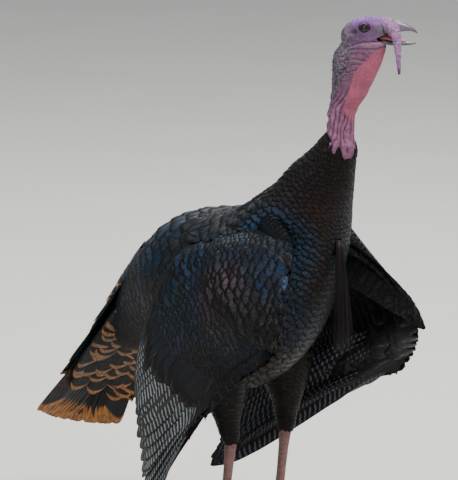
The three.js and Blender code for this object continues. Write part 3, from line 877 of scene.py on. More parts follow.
def head_relief(points, bare):
    """Warts on the head, ridges on the crown and lumps on the cheek, but none on the lids."""
    ahead, left, up = head_place(points)
    lidded = np.zeros(len(points))
    for side in (1, -1):
        lidded = np.maximum(lidded, ease(16, 11, np.hypot(ahead + EYE_BACK, up)) * (left * side > 5))
    rough = bare * ease(-62, -45, up) * (1 - lidded)
    relief = rough * 0.75 * (warts(points, 3.4, 5) - 0.4)
    crown = rough * ease(6, 13, up)
    relief += crown * 0.8 * np.sin(ahead * 0.95 + 1.6 * grain(points, 9, 3) * 3)
    cheek = rough * ease(10, 2, up) * ease(-40, -30, up)
    relief += cheek * 0.9 * (grain(points, 6.5, 9) - 0.5) * 2
    return relief


def neck_relief(points, bare, relief):
    """Creased and warty sides, a smooth full throat, the two folds of the jaw and ropes low on the neck."""
    ahead, _, up = head_place(points)
    z = points[:, 2]
    bearing, _ = neck_place(points)
    turn = np.abs(bearing)
    neck = bare * ease(-30, -48, up)
    flank = neck * ease(742, 790, z)
    crease = np.abs(np.sin((z + 5 * np.cos(bearing * 2) + 10 * grain(points, 16, 4)) * 2 * np.pi / 15))
    relief += flank * (1.5 * crease**0.6 - 0.9) * ease(0.3, 1.1, turn)
    relief += flank * 0.8 * (warts(points, 5.0, 21) - 0.4)
    relief += flank * 1.6 * (grain(points, 22, 8) - 0.5) * 2
    border = throat_border(z)
    throat = neck * ease(700, 716, z) * ease(border + 0.05, border - 0.08, turn)
    full = 3.0 * ease(762, 742, z) * ease(704, 722, z)
    relief = mix(relief, full - 0.6 + 0.5 * (warts(points, 2.4, 77) - 0.4), throat)
    jaw = bare * ease(-34, -20, ahead) * ease(40, 34, ahead)
    first = -22.5 - 0.008 * np.clip(5 - ahead, 0, 40) ** 2
    second = -34 + 5 * ease(10, 34, ahead)
    relief -= 1.0 * jaw * np.exp(-((up - second) / 1.4) ** 2)
    lip = 1.0 * np.exp(-((up - first + 4) / 2.6) ** 2)
    relief += jaw * (lip - 1.1 * np.exp(-((up - first) / 1.1) ** 2))
    relief += neck * ease(1.6, 2.4, turn) * (2.2 * warts(points, 4.2, 23) + 0.6)
    low = neck * ease(770, 735, z) * (1 - throat)
    rope = np.abs(np.sin(bearing * 9.0 + 3.4 * grain(points * np.array([1, 1, 0.4]), 13, 12) * 2))
    relief += low * (3.4 * rope**0.7 - 2.9 + 2.0 * (grain(points, 9, 31) - 0.5) * 2)
    relief += low * 0.9 * (warts(points, 5.5, 17) - 0.4)
    # painted shade in the neck creases, between the ropes and along the jaw folds
    fold_shade = (flank * ease(0.45, 0.05, crease) * 0.6 + low * ease(0.5, 0.1, rope)) * (1 - throat)
    fold_shade = np.maximum(fold_shade, 0.8 * jaw * np.exp(-((up - first) / 1.3) ** 2))
    fold_shade = np.maximum(fold_shade, 0.6 * jaw * np.exp(-((up - second) / 1.6) ** 2) * (1 - throat))
    return relief, fold_shade


def leg_relief(points, relief):
    """Plates down the front of the shank and over the toes, and small scales behind."""
    z = points[:, 2]
    leg = ease(200, 185, z) * on_legs(points)
    front = points[:, 0] - np.interp(z, [26, 177], [-16, 3]) > 0
    plates = np.abs(np.sin(z * np.pi / 7.5 + 0.35 * np.sin(points[:, 1])))
    scales = 0.55 * warts(points, 4.2, 3) - 0.3
    relief += leg * np.where(front & (z > 22), 0.9 * ease(0.05, 0.4, plates) - 0.6, scales)
    toe = leg * ease(24, 18, z)
    reach = np.hypot(points[:, 0] - FOOT_MID[0], np.abs(points[:, 1]) - FOOT_MID[1])
    rings = np.abs(np.sin(reach * np.pi / 6.5))
    relief += toe * (z > 4) * (0.9 * ease(0.05, 0.4, rings) - 0.6)
    # painted shade in the grooves between the shank plates and between the rings of the toes
    fold_shade = leg * front * ease(0.35, 0.05, plates) * (z > 22)
    return relief, np.maximum(fold_shade, toe * ease(0.35, 0.05, rings))


def slim_neck(out, z, bare):
    """Draws the low neck in at the front and a little towards the back."""
    bearing, radius = neck_place(out)
    forward = ease(-0.45, 0.1, bearing) * ease(2.3, 1.8, bearing)
    over = np.maximum(radius - mix(21.0, 17.0, forward), 0) * mix(0.2, 0.85, forward) * bare
    over = over * ease(720, 696, z)
    axis = out[:, :2] - np.array([182.0, 2.0])
    out[:, :2] -= axis * (over / np.maximum(radius, 1))[:, None]
    out[:, :2] -= np.array([1.2, 1.1]) * (bare * ease(752, 708, z))[:, None]


def skin_forms(points, normals):
    """Raises folds, warts and scutes over the bare skin; gives the points and their depth in a fold, the
    share of painted shade there.
    """
    out, fold_shade = lids(points)
    ahead, _, up = head_place(points)
    z = points[:, 2]
    bare = bare_share(points) * (z > 400)
    relief = head_relief(points, bare)
    relief, neck_fold_shade = neck_relief(points, bare, relief)
    relief -= 1.2 * ear(points) * bare
    relief, leg_fold_shade = leg_relief(points, relief)
    fold_shade = np.maximum(np.maximum(fold_shade, neck_fold_shade), leg_fold_shade)
    out = out + normals * (relief * ease(1.0, 5.0, z))[:, None]
    slim_neck(out, z, bare)
    gape = bare * ease(15, 19, ahead) * ease(33, 30, ahead)
    gape = gape * ease(1.25, 0.75, mouth_gap(ahead, up))
    _, across, _ = head_place(out)
    out = out + (-across * 0.72 * gape)[:, None] * CHEEK
    # painted shade in the gap of the open mouth
    fold_shade = np.maximum(fold_shade, 0.5 * gape)
    return out, np.clip(fold_shade, 0, 1)


def neck_colour(points, cloud, nape):
    """Red throat, mauve flanks, slate nape, and pinker ropes low on the neck."""
    z = points[:, 2]
    bearing, _ = neck_place(points)
    turn = np.abs(bearing)[:, None]
    throat = mix(rgb(0.275, 0.065, 0.105), rgb(0.205, 0.050, 0.090), cloud)
    flank = mix(rgb(0.145, 0.058, 0.105), rgb(0.090, 0.040, 0.078), cloud)
    border = throat_border(z)[:, None] + 0.12 * (cloud - 0.5)
    beyond = ease(-0.06, 0.10, turn - border)
    neck = mix(throat, mix(flank, nape, ease(1.7, 2.5, turn)), beyond)
    low = mix(rgb(0.125, 0.045, 0.092), rgb(0.22, 0.088, 0.160), cloud)
    return mix(neck, low, ease(770, 720, z)[:, None] * ease(2.8, 2.0, turn) * beyond)


def head_colour(points, cloud, nape):
    """Lavender crown, darker cheek, pink jowl, slate before the eye and pebbled grey behind."""
    ahead, _, up = head_place(points)
    side = mix(rgb(0.080, 0.036, 0.090), rgb(0.150, 0.075, 0.160), cloud)
    crown = mix(rgb(0.125, 0.045, 0.195), rgb(0.21, 0.095, 0.29), cloud)
    head = mix(side, crown, ease(3, 12, up + 0.15 * np.abs(ahead))[:, None])
    jowl = (0.7 * ease(-20, -25, up) * ease(-20, 10, ahead))[:, None]
    head = mix(head, rgb(0.23, 0.105, 0.17), jowl)
    lore = ease(1.3, 0.7, np.hypot((ahead - 29) / 14, (up + 3) / 9))
    head = mix(head, rgb(0.070, 0.068, 0.088), 0.9 * lore[:, None])
    return mix(head, nape, (ease(-18, -32, ahead) * ease(14, 2, up))[:, None])


def skin_colour(points):
    """Ground colour of the skin, from lavender crown to red throat, dark under the feathers."""
    ahead, left, up = head_place(points)
    cloud = grain(points, 11, 40)[:, None]
    speck = ease(0.5, 0.8, warts(points, 4.2, 23))[:, None]
    nape = mix(rgb(0.060, 0.042, 0.062), rgb(0.036, 0.028, 0.038), cloud)
    nape = mix(nape, rgb(0.15, 0.12, 0.16), 0.7 * speck)
    neck, head = neck_colour(points, cloud, nape), head_colour(points, cloud, nape)
    colour = mix(neck, head, ease(-34, -28, up)[:, None])
    for side in (1, -1):
        d = np.hypot((ahead + EYE_BACK) / 6.2, up / 5.2)
        rim = (left * side > 5) * ease(1.6, 1.2, d)
        halo = (left * side > 5) * ease(2.6, 1.3, d)
        colour = mix(colour, rgb(0.09, 0.035, 0.12), 0.7 * halo[:, None])
        colour = mix(colour, rgb(0.02, 0.009, 0.022), rim[:, None])
    colour = mix(colour, rgb(0.05, 0.035, 0.05), 0.8 * ear(points)[:, None])
    mouth = ease(14, 17, ahead) * ease(1.5, 1.0, mouth_gap(ahead, up))
    # painted shade: the inside of the mouth is near black towards its corner and red further forward
    flesh = mix(rgb(0.028, 0.010, 0.022), rgb(0.30, 0.055, 0.06), ease(22, 28, ahead)[:, None])
    colour = mix(colour, flesh, mouth[:, None])
    leg = mix(rgb(0.20, 0.10, 0.095), rgb(0.13, 0.075, 0.07), cloud)
    colour = mix(colour, leg, (points[:, 2] < 300)[:, None] * 1.0)
    return mix(rgb(0.007, 0.007, 0.008), colour, bare_share(points)[:, None])


def coat_depth(points):
    """How far the skin lies inside the outer shape of the feathers."""
    deep = 3.0 + 4.5 * ease(0, -150, above_collar(points))
    deep = deep * (1 - bare_share(points))
    return np.minimum(deep, 6 * ease(178, 215, points[..., 2]) + 100 * (np.abs(points[..., 1]) > 140))


FLESH = ["trunk", "neck_feathered", "neck_bare", "caruncles", "head"]
FLESH += [part + "_" + side for part in ("thigh", "shank", "foot", "wing") for side in ("left", "right")]


def evaluated_mesh(piece):
    """The mesh of a piece as its modifiers leave it."""
    bpy.context.view_layer.update()
    return bpy.data.meshes.new_from_object(piece.evaluated_get(bpy.context.evaluated_depsgraph_get()))


def grown_flesh(by=0.0004):
    """The solids of flesh and eyes in one mesh, each a little larger so that they run into one another."""
    bm = bmesh.new()
    for name in FLESH + ["eye_left", "eye_right"]:
        part = bmesh.new()
        part.from_mesh(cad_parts[name].data)
        bmesh.ops.remove_doubles(part, verts=part.verts[:], dist=1e-5)
        part.normal_update()
        for vert in part.verts:
            vert.co += vert.normal * by
        shape = bpy.data.meshes.new("part")
        part.to_mesh(shape)
        part.free()
        bm.from_mesh(shape)
        bpy.data.meshes.remove(shape)
    mesh = bpy.data.meshes.new("raw")
    bm.to_mesh(mesh)
    bm.free()
    return mesh


def relax(bm, verts, rounds):
    for _ in range(rounds):
        bmesh.ops.smooth_vert(bm, verts=verts, factor=0.5, use_axis_x=True, use_axis_y=True, use_axis_z=True)


def refine(bm, test):
    """Halves the edges of the mesh where the test holds and rounds them off."""
    keep = test(millimetres(np.array([v.co for v in bm.verts])))
    bm.verts.index_update()
    chosen = [e for e in bm.edges if keep[e.verts[0].index] and keep[e.verts[1].index]]
    bmesh.ops.subdivide_edges(bm, edges=chosen, cuts=1, use_grid_fill=True)
    keep = test(millimetres(np.array([v.co for v in bm.verts])))
    bm.verts.ensure_lookup_table()
    relax(bm, [bm.verts[i] for i in np.nonzero(keep)[0]], 2)


def is_bare(points):
    return (bare_share(points) > 0.02) & (points[:, 2] > 400)


def is_face(points):
    """Holds round the eyes and round the corners of the mouth."""
    ahead, left, up = eye_place(points)
    eyes = (np.hypot(ahead, up) < 21) & (np.abs(left) > 6)
    return eyes | (np.abs(ahead - 24) < 14) & (np.abs(up + 17) < 12)


def build_skin(settings):
    raw = bpy.data.objects.new("raw", grown_flesh())
    bpy.context.scene.collection.objects.link(raw)
    cover = raw.modifiers.new("cover", "REMESH")
    cover.mode = "VOXEL"
    cover.voxel_size = settings.skin_cell
    whole = evaluated_mesh(raw)
    bpy.data.objects.remove(raw)
    bm = bmesh.new()
    bm.from_mesh(whole)
    bpy.data.meshes.remove(whole)
    relax(bm, bm.verts[:], 6)
    refine(bm, is_bare)
    refine(bm, is_face)
    skin = finish_bmesh("skin", bm, skin_material(), replaces=FLESH)
    points, normals = points_of(skin), normals_of(skin)
    bare = bare_share(points)
    shown, fold_shade = skin_forms(points, normals)
    move_points(skin, shown - normals * coat_depth(points)[:, None])
    add_attribute(skin, "base", skin_colour(points), "FLOAT_COLOR")
    add_attribute(skin, "bare", bare)
    # the share of painted shade in creases, grooves and the mouth gap
    add_attribute(skin, "fold_shade", fold_shade)
    group = skin.vertex_groups.new(name="feathered")
    group.add(np.nonzero(bare < 0.01)[0].tolist(), 1.0, "REPLACE")
    thin = skin.modifiers.new("thin", "DECIMATE")
    thin.vertex_group = "feathered"
    thin.ratio = 0.45
    light = evaluated_mesh(skin)
    skin.modifiers.clear()
    old, skin.data = skin.data, light
    bpy.data.meshes.remove(old)


# ---------------------------------------------------------------- head parts


def cornea_material():
    s = Shader("turkey_cornea", Roughness=0.04, IOR=1.12, Transmission_Weight=1.0)
    return s.set(Base_Color=(1.0, 1.0, 1.0))


def eye_ball(bm, side, radius, lowest=-1.0):
    """A ball round the middle of one eye with its pole outward, or the cap above a share of its radius."""
    bmesh.ops.create_uvsphere(bm, u_segments=40, v_segments=28, radius=1)
    if lowest > -1:
        bmesh.ops.delete(bm, geom=[v for v in bm.verts if v.co.z < lowest], context="VERTS")
    rings = []
    for vert in bm.verts:
        d = Vector(vert.co).normalized()
        size = radius(math.degrees(math.acos(max(-1.0, min(1.0, d.z)))))
        p = head_point(d.x * size - EYE_BACK, side * (EYE_OFFSET + d.z * size), d.y * size)
        vert.co = Vector(metres(p))
        rings.append(math.hypot(d.x, d.y) * size if d.z > 0 else 9.0)
    return rings


def ball_radius(off):
    """Radius of the eyeball so many degrees off its pole: the iris lies a little flatter."""
    return (EYE_R - 0.15) * (1 - 0.10 * float(ease(38, 22, off)))


def cornea_radius(off):
    """Radius of the cornea, which bulges over the iris."""
    return EYE_R + 0.05 + 0.55 * float(ease(34, 8, off))


def build_eyes(settings):
    material, clear = eye_material(), cornea_material()
    for name, side in (("left", 1), ("right", -1)):
        bm = bmesh.new()
        rings = eye_ball(bm, side, ball_radius)
        ball = finish_bmesh("eyeball_" + name, bm, material, replaces=["eye_" + name])
        add_attribute(ball, "ring", rings)
        bm = bmesh.new()
        eye_ball(bm, side, cornea_radius, 0.62)
        bmesh.ops.solidify(bm, geom=bm.faces[:], thickness=0.00012)
        finish_bmesh("cornea_" + name, bm, clear)


def nostril(ahead, up, long, tall):
    return np.exp(-((ahead - 43) / long) ** 2 - ((up - 2.5) / tall) ** 2)


def build_bill(settings):
    horn = horn_material("turkey_bill", (0.15, 0.115, 0.175), (0.050, 0.047, 0.062), 0.3)
    for name, table in (("upper", BILL_TOP), ("lower", BILL_LOW)):
        first = [table[0][0] - 5, *table[0][1:]]
        first[3] *= 0.92
        rings = oval_rings([first] + table, 34, 28, 0.92)
        ahead, left, up = head_place(rings)
        if name == "upper":
            slot = nostril(ahead, up, 5.5, 1.9) * (np.abs(left) > 3)
            cere = np.exp(-((ahead - 38) / 9) ** 2 - ((up - 7) / 4) ** 2)
            left = left * (1 - 0.28 * slot) * (1 + 0.08 * cere)
        else:
            left = left * (1 - 0.04 * np.cos(up * 1.2))
        bm = bmesh.new()
        sweep(bm, head_point(ahead, left, up))
        piece = finish_bmesh("horn_" + name, bm, horn, replaces=["bill_" + name])
        far, _, high = head_place(points_of(piece))
        tip = np.maximum(ease(52, 78, far) * 0.7, ease(48, 38, far))
        # painted shade: the nostril slit and the whole lower bill are darkened through the tip share
        shade = 0.9 * nostril(far, high, 4.5, 1.5) if name == "upper" else 0.85
        add_attribute(piece, "tip", np.maximum(tip, shade))
    s = Shader("turkey_tongue", Roughness=0.35, Subsurface_Weight=0.2, Subsurface_Scale=0.003)
    cloud = s.noise(s.place(), 300.0, 3.0)
    red = s.set(Base_Color=s.mix(cloud, (0.24, 0.045, 0.055), (0.42, 0.15, 0.15)))
    bm = bmesh.new()
    sweep(bm, oval_rings(TONGUE, 16, 14))
    finish_bmesh("tongue_flesh", bm, red, replaces=["tongue"])


def snood_material():
    s = Shader("turkey_snood", Roughness=0.55, Specular_IOR_Level=0.22, Subsurface_Weight=0.2,
               Subsurface_Scale=0.004)
    where = s.place()
    tip = s.attribute("tip", "Fac")
    cloud = s.noise(where, 240.0, 4.0)
    flesh = s.mix(s.smooth(cloud, 0.3, 0.7), (0.15, 0.070, 0.17), (0.32, 0.185, 0.32))
    s.bump(s.math("ADD", s.cells(where, 520.0), cloud), 0.5, 0.0005)
    return s.set(Base_Color=s.mix(tip, flesh, (0.07, 0.035, 0.07)))


def build_snood(settings):
    rows = [[*head_point(a, l, u), r] for a, l, u, r in SNOOD]
    count, creases = 90, 24
    rings = tube_rings(rows, count, 26)
    k = np.linspace(0, 1, count)[:, None]
    mid = rings.mean(1, keepdims=True)
    ripple = np.sin(k * 2 * np.pi * creases + 3 * grain(mid[:, 0], 9, 3)[:, None])
    crease = 1 + 0.075 * ripple * ease(0.02, 0.15, k)
    crease = crease + 0.10 * (grain(rings, 4.5, 6) - 0.5)
    crease = crease * np.where(k < 0.03, 0.75, 1)
    bm = bmesh.new()
    sweep(bm, mid + (rings - mid) * crease[..., None])
    piece = finish_bmesh("snood_flesh", bm, snood_material(), replaces=["snood"])
    _, _, up = head_place(points_of(piece))
    add_attribute(piece, "tip", ease(-52, -72, up))


def strands(name, roots, ahead, length, radius, droop, material, sides=4, steps=4, replaces=()):
    """One piece of many thin tapering strands bent towards the ground."""
    bm = bmesh.new()
    k = np.linspace(0, 1, steps + 1)
    a = np.linspace(0, 2 * np.pi, sides, endpoint=False)
    unit_rings = np.stack([np.outer(1 - 0.75 * k, np.cos(a)), np.outer(1 - 0.75 * k, np.sin(a)),
                           np.repeat(k[:, None], sides, 1)], axis=-1)
    sweep(bm, unit_rings)
    bmesh.ops.triangulate(bm, faces=bm.faces[:])
    bmesh.ops.recalc_face_normals(bm, faces=bm.faces[:])
    shape = millimetres(np.array([v.co for v in bm.verts]))
    faces = np.array([[v.index for v in f.verts] for f in bm.faces])
    bm.free()
    n, m = len(roots), len(shape)
    side = unit(np.cross(ahead, RNG.normal(size=(n, 3))))
    other = np.cross(ahead, side)
    t = shape[None, :, 2:3]
    spine = roots[:, None] + ahead[:, None] * length[:, None, None] * t
    spine = spine + droop[:, None] * (length[:, None, None] * t**2)
    round_it = shape[None, :, 0:1] * side[:, None] + shape[None, :, 1:2] * other[:, None]
    co = spine + radius[:, None, None] * round_it
    index = copied_faces(faces, n, m)
    mesh = joined_mesh(name, co.reshape(-1, 3), index)
    grid = int(math.ceil(math.sqrt(n)))
    seat = np.stack([np.arange(n) % grid, np.arange(n) // grid], 1) / (grid + 1) + 0.002
    local = np.concatenate([shape[:, :1] * 0.5 + 0.5, shape[:, 2:3]], axis=1)
    add_map(mesh, "OFBake", index, (seat[:, None] + PATCH * local[None]).reshape(-1, 2))
    return place_piece(name, mesh, material, replaces)


def build_bristles(settings):
    """Hair-like feathers on the nape, the sides of the neck and over the ears."""
    skin = bpy.data.objects["skin"]
    points, normals = points_of(skin), normals_of(skin)
    ahead, _, up = head_place(points)
    bearing, _ = neck_place(points)
    turn = np.abs(bearing)
    bare = bare_share(points) * (points[:, 2] > 700)
    where = bare * (ease(1.4, 2.4, turn) * ease(12, 0, up) * ease(700, 740, points[:, 2]))
    where = where + 0.2 * bare * ease(0.9, 1.4, turn) * (up < -25) + 2.2 * ear(points) * bare
    where = where * (1 - 0.97 * (np.hypot(ahead, up) < 13))
    chance = where / where.sum()
    picked = RNG.choice(len(points), size=settings.bristles, replace=False, p=chance)
    roots, out, n = points[picked], normals[picked], len(picked)
    down = np.array([-0.35, -0.1, -1.0]) + 0.25 * RNG.normal(size=(n, 3))
    patch = ear(roots)[:, None]
    down = mix(down, np.array([-1.0, -0.5, -0.35]) + 0.25 * RNG.normal(size=(n, 3)), patch)
    d = unit(down - out * (down * out).sum(1, keepdims=True) * 0.75 + 0.32 * out)
    length = RNG.uniform(4, 8, n) * (1 - 0.35 * patch[:, 0])
    s = Shader("turkey_bristle", Roughness=0.5)
    cloud = s.noise(s.place(), 90.0, 2.0)
    dark = s.set(Base_Color=s.mix(cloud, (0.010, 0.008, 0.012), (0.035, 0.026, 0.035)))
    strands("bristles", roots - out * 0.5, d, length, np.full(n, 0.24), -0.22 * out, dark,
            sides=3, steps=3)


def build_beard(settings):
    """Coarse strands hanging from the breast in a loose bundle that widens a little downward."""
    n = settings.beard_strands
    fan = RNG.uniform(0, 2 * np.pi, n)
    far = np.sqrt(RNG.uniform(0, 1, n))
    roots = np.stack([-6 + 5 * far * np.cos(fan), 5.5 * far * np.sin(fan), 5 * far], 1)
    roots = np.array(BEARD_ROOT) + roots
    aim = np.stack([0.09 + 0.045 * far * np.cos(fan), 0.075 * far * np.sin(fan), np.full(n, -1.0)], 1)
    aim = unit(aim + 0.012 * RNG.normal(size=(n, 3)))
    length = BEARD_LENGTH * (1 - 0.28 * RNG.uniform(0, 1, n) ** 2.2)
    droop = np.stack([-0.035 + 0.01 * RNG.normal(size=n), 0.015 * RNG.normal(size=n), np.zeros(n)], 1)
    s = Shader("turkey_beard", Roughness=0.5, Specular_IOR_Level=0.25)
    cloud = s.noise(s.place(), 60.0, 3.0)
    material = s.set(Base_Color=s.mix(cloud, (0.004, 0.0035, 0.004), (0.014, 0.011, 0.011)))
    strands("beard_bristles", roots, aim, length, RNG.uniform(0.45, 0.8, n), droop, material,
            sides=4, steps=10, replaces=["beard"])


def build_claws(settings):
    claw = horn_material("turkey_claw", (0.10, 0.075, 0.06), (0.03, 0.022, 0.02), 0.35)
    for side, turn in (("left", 1), ("right", -1)):
        for name, bearing, long, nail in TOES:
            a = math.radians(bearing * turn)

            def row(d, z, r):
                return [FOOT_MID[0] + d * math.cos(a), FOOT_MID[1] * turn + d * math.sin(a), z, r]

            rows = [row(long - 7, 5.4, 2.8), row(long, 6.3, 3.1), row(long + nail * 0.45, 6, 2.5),
                    row(long + nail, 2.6, 0.5)]
            bm = bmesh.new()
            sweep(bm, tube_rings(rows, 16, 14))
            piece = finish_bmesh("nail_" + name + "_" + side, bm, claw,
                                 replaces=["claw_" + name + "_" + side])
            p = points_of(piece)
            reach = np.hypot(p[:, 0] - FOOT_MID[0], p[:, 1] - FOOT_MID[1] * turn)
            add_attribute(piece, "tip", ease(long, long + nail, reach))
        rows = [[x, y * turn, z, r] for x, y, z, r in SPUR]
        rows[0][0] += 3
        bm = bmesh.new()
        sweep(bm, tube_rings(rows, 18, 18))
        piece = finish_bmesh("spur_horn_" + side, bm, claw, replaces=["spur_" + side])
        add_attribute(piece, "tip", ease(-16, -38, points_of(piece)[:, 0]))


# ---------------------------------------------------------------- coat


def body_sheet(depth):
    """The trunk and feathered neck unrolled from the belly seam, with more room for each back feather."""
    t = np.linspace(0, 11, 89)
    x, z, tilt, top, low, half = curve(TORSO, t).T
    tilt = np.radians(tilt)
    up = np.stack([np.cos(tilt), np.zeros_like(t), np.sin(tilt)], 1)
    a = np.linspace(np.pi, 3 * np.pi, 721)
    high = np.where(np.cos(a) > 0, top[:, None], low[:, None]) * np.cos(a)
    grid = np.stack([x, np.zeros_like(t), z], 1)[:, None] + up[:, None] * high[..., None]
    grid = grid + np.array([0, 1.0, 0]) * (half[:, None] * np.sin(a))[..., None]
    run = np.linalg.norm(np.diff(grid, axis=1), axis=2)
    back = (1 + np.cos((a[1:] + a[:-1]) / 2)) / 2
    weight = run * mix(1.15, 0.6, back)
    total = np.concatenate([np.zeros((len(t), 1)), np.cumsum(weight, 1)], 1)
    places = np.linspace(0, 1, 129)[:-1]
    rows = []
    for s, ring in zip(total, grid):
        rows.append(np.stack([np.interp(places * s[-1], s, ring[:, i]) for i in range(3)], 1))
    outer = Sheet(np.array(rows), closed=True)
    inner = outer.points - outer.normal * depth(outer.points)[..., None]
    return Sheet(inner, closed=True)


def vary(n, spread):
    return 1 + RNG.uniform(-spread, spread, n)


def tract(name, sheet, roots, kind, material, size, colours, slope=0.12, lift=0.8, patch=PATCH,
          cells=(5, 7), turn=0.0, sway=5.0, camber=0.03, roll=0.0, thick=VANE_THICK, end=None, level=None,
          drift=None):
    """Feathers of one kind on one sheet, in as many pieces as their triangle count asks for."""
    shape = vane(*cells, kind=kind)
    n = len(roots)
    length, width = size
    turn = turn + np.radians(sway) * RNG.normal(size=n) * 0.6
    lifts = np.broadcast_to(np.asarray(lift, float), n) + RNG.uniform(-0.15, 0.15, n)
    slopes = np.broadcast_to(np.asarray(slope, float), n) * vary(n, 0.12)
    twist = np.broadcast_to(np.asarray(roll, float), n) + 0.012 * RNG.normal(size=n)
    points = lay(sheet, roots, shape, length, width, turn, lifts, slopes, camber, twist, thick, end, level,
                 drift)
    seat = sheet.at(roots[:, 0], roots[:, 1])
    whole = np.linalg.norm(points - seat[:, None], axis=-1).max(1) < 1.25 * length + 0.5 * width + 6
    points, roots, seat = points[whole], roots[whole], seat[whole]
    n = len(roots)
    tint, edge = colours(seat, roots, n)
    seed = RNG.uniform(0, 1, n)
    corner, extent = patches(sheet, roots, patch)
    parts = max(1, math.ceil(n * len(shape["faces"]) * 2 / PIECE_LIMIT))
    for i, some in enumerate(np.array_split(np.arange(n), parts)):
        label = name if parts == 1 else f"{name}_{i + 1}"
        looks, place = (tint[some], edge[some], seed[some]), (corner[some], extent[some])
        feathers(label, points[some], shape, looks, place, material)


def sheen(points, roots, n):
    """Middle and fringe of a body feather by its place on the bird."""
    x, _, z = points.T
    cloud = grain(points, 60, 2)[:, None]
    fleck = RNG.uniform(0, 1, (n, 1))
    bronze, blue = rgb(0.042, 0.025, 0.018), rgb(0.014, 0.032, 0.066)
    teal, dusk = rgb(0.011, 0.038, 0.056), rgb(0.014, 0.011, 0.012)
    share = np.clip(ease(0.45, 0.8, cloud) * 0.8 + 0.3 * (fleck - 0.5), 0, 1)
    breast = mix(bronze * 0.8, blue * 0.7, share)
    back = mix(blue * 0.5, teal * 0.5, ease(0.3, 0.7, cloud))
    back = mix(back, bronze * 0.75, 0.7 * fleck * ease(0.35, 0.75, grain(points, 38, 62))[:, None])
    dorsal = ease(0.2, 0.8, ((z - 0.75 * x) - 420) / 130)[:, None]
    colour = mix(breast, back, dorsal)
    colour = mix(colour, mix(dusk, bronze * 0.6, 0.6 * fleck), ease(545, 620, z)[:, None])
    colour = mix(colour, dusk, ease(360, 270, z)[:, None] * 0.8)
    near = np.linalg.norm(np.abs(points) - SHOULDER_GLEAM, axis=1)
    colour = mix(colour, rgb(0.012, 0.044, 0.092), (0.85 * ease(90, 40, near))[:, None])
    colour = colour * (0.7 + 0.6 * RNG.uniform(0, 1, (n, 1)))
    edge = mix(rgb(0.028, 0.027, 0.029), rgb(0.07, 0.052, 0.038), fleck)
    return colour, edge * (0.4 + 0.6 * ease(620, 540, z)[:, None])


def build_body_coat(settings):
    """Feathers from the collar to the rump; over the middle of the back they end where the tail's begin."""
    sheet = body_sheet(coat_depth)
    material = contour_material("turkey_contour")

    def shows(points, s, c, gap):
        neck = ease(26, 6, s)
        return gap * mix(settings.feather_show, settings.feather_show * 1.7, neck)

    roots = lattice(sheet, settings.columns, 0.4, 79, shows, jitter=0.08)
    rump = roots[:, 0] + 2.2 * (np.abs(roots[:, 1] / sheet.cols - 0.5) < 0.22) > 78.2
    roots = roots[~rump]
    gap, step = roots[:, 2], roots[:, 3]
    length = step * 2.05 * vary(len(roots), 0.07)
    width = gap * settings.feather_width * vary(len(roots), 0.07)
    neck = roots[:, 0] < 24
    side = (roots[:, 1] / sheet.cols - 0.5) * 2
    splay = 0.10 * np.sin(side * np.pi) * ease(20, 40, roots[:, 0])
    for name, chosen, kind, cells in (("neck_feathers", neck, "neck", (3, 4)),
                                      ("body_feathers", ~neck, "body", (5, 7))):
        size = (length[chosen], width[chosen])
        tract(name, sheet, roots[chosen], kind, material, size, sheen,
              slope=settings.feather_rise, cells=cells, turn=splay[chosen])


def wing_sheet(side, face):
    """One face of a wing from its leading edge back to its trailing edge, with u for each column."""
    turn = 1 if side == "left" else -1
    table = WINGS[side]
    line = np.linspace(0, HAND_END, 400)
    mid = mix(curve(table["roots"], line), curve(table["tips"], line), 0.2)
    run = np.concatenate([[0], np.cumsum(np.linalg.norm(np.diff(mid, axis=0), axis=1))])
    u = np.interp(np.linspace(0, run[-1], 81), run, line)
    q = np.concatenate([np.linspace(-1, 0, 10)[:-1], np.linspace(0, 1, 37)])

    def flat(u, v):
        return mix(curve(table["roots"], u), curve(table["tips"], u), v[..., None])

    uu, qq = np.meshgrid(u, q)
    v = np.clip(qq, 0, 1)
    e = 0.02

    def out(u, v):
        n = unit(np.cross(flat(u + e, v) - flat(u - e, v), flat(u, v + e) - flat(u, v - e)))
        return n * np.where(n[..., 1:2] < 0, -1, 1)

    surface = flat(uu, v) + out(uu, v) * (WING_BULGE * 4 * v * (1 - 0.8 * v) * 0.8)[..., None]
    edge = curve(table["edge"], uu)
    points = np.where((qq < 0)[..., None], mix(surface, edge, np.clip(-qq, 0, 1)[..., None]), surface)
    s = np.clip(uu / ARM_END, 0, 1)
    share = mix(ARM_COVER[0], ARM_COVER[1], s)
    c = np.where(qq < 0, 0.3 * (1 + qq), 0.3 + 0.7 * v / share)
    fore, aft = np.sqrt(np.clip(c / 0.25, 0, 1)), np.clip((c - 0.3) / 0.5, 0, 1)
    half = mix(mix(ARM_THICK[0], ARM_THICK[1], s), mix(ARM_EDGE[0], ARM_EDGE[1], s), aft)
    half = half * fore * (1 - 0.6 * np.clip((s - 0.9) / 0.1, 0, 1))
    half = np.maximum(half - 2.5, 0.6 * fore) * ease(1.35, 0.9, c)
    normal = out(uu, np.full_like(uu, 0.1))
    points = points + normal * (face * half)[..., None]
    hand = np.array([1.0, turn, 1.0])
    sheet = Sheet(points * hand, away=normal * hand * face)
    sheet.u = u
    return sheet


def column_of(sheet, u):
    return np.interp(u, sheet.u, np.arange(sheet.cols))


def outward_sign(sheet):
    """1 when a feather's right-hand side lies towards the wing tip."""
    mid = (sheet.rows // 2, sheet.cols // 2)
    t, n = unit(sheet.along[mid]), sheet.normal[mid]
    return 1.0 if np.cross(n, t) @ sheet.across[mid] > 0 else -1.0


def row_at(sheet, v):
    return 9 + np.asarray(v, float) * (sheet.rows - 10)


def run_to(sheet, roots, v_end):
    """Length in millimetres from each root to a line across the wing."""
    end = row_at(sheet, v_end)
    k = np.linspace(0, 1, 12)
    s = mix(roots[:, 0][None], np.broadcast_to(end, len(roots))[None], k[:, None])
    p = sheet.at(s, np.repeat(roots[:, 1][None], 12, 0))
    return np.linalg.norm(np.diff(p, axis=0), axis=-1).sum(0)


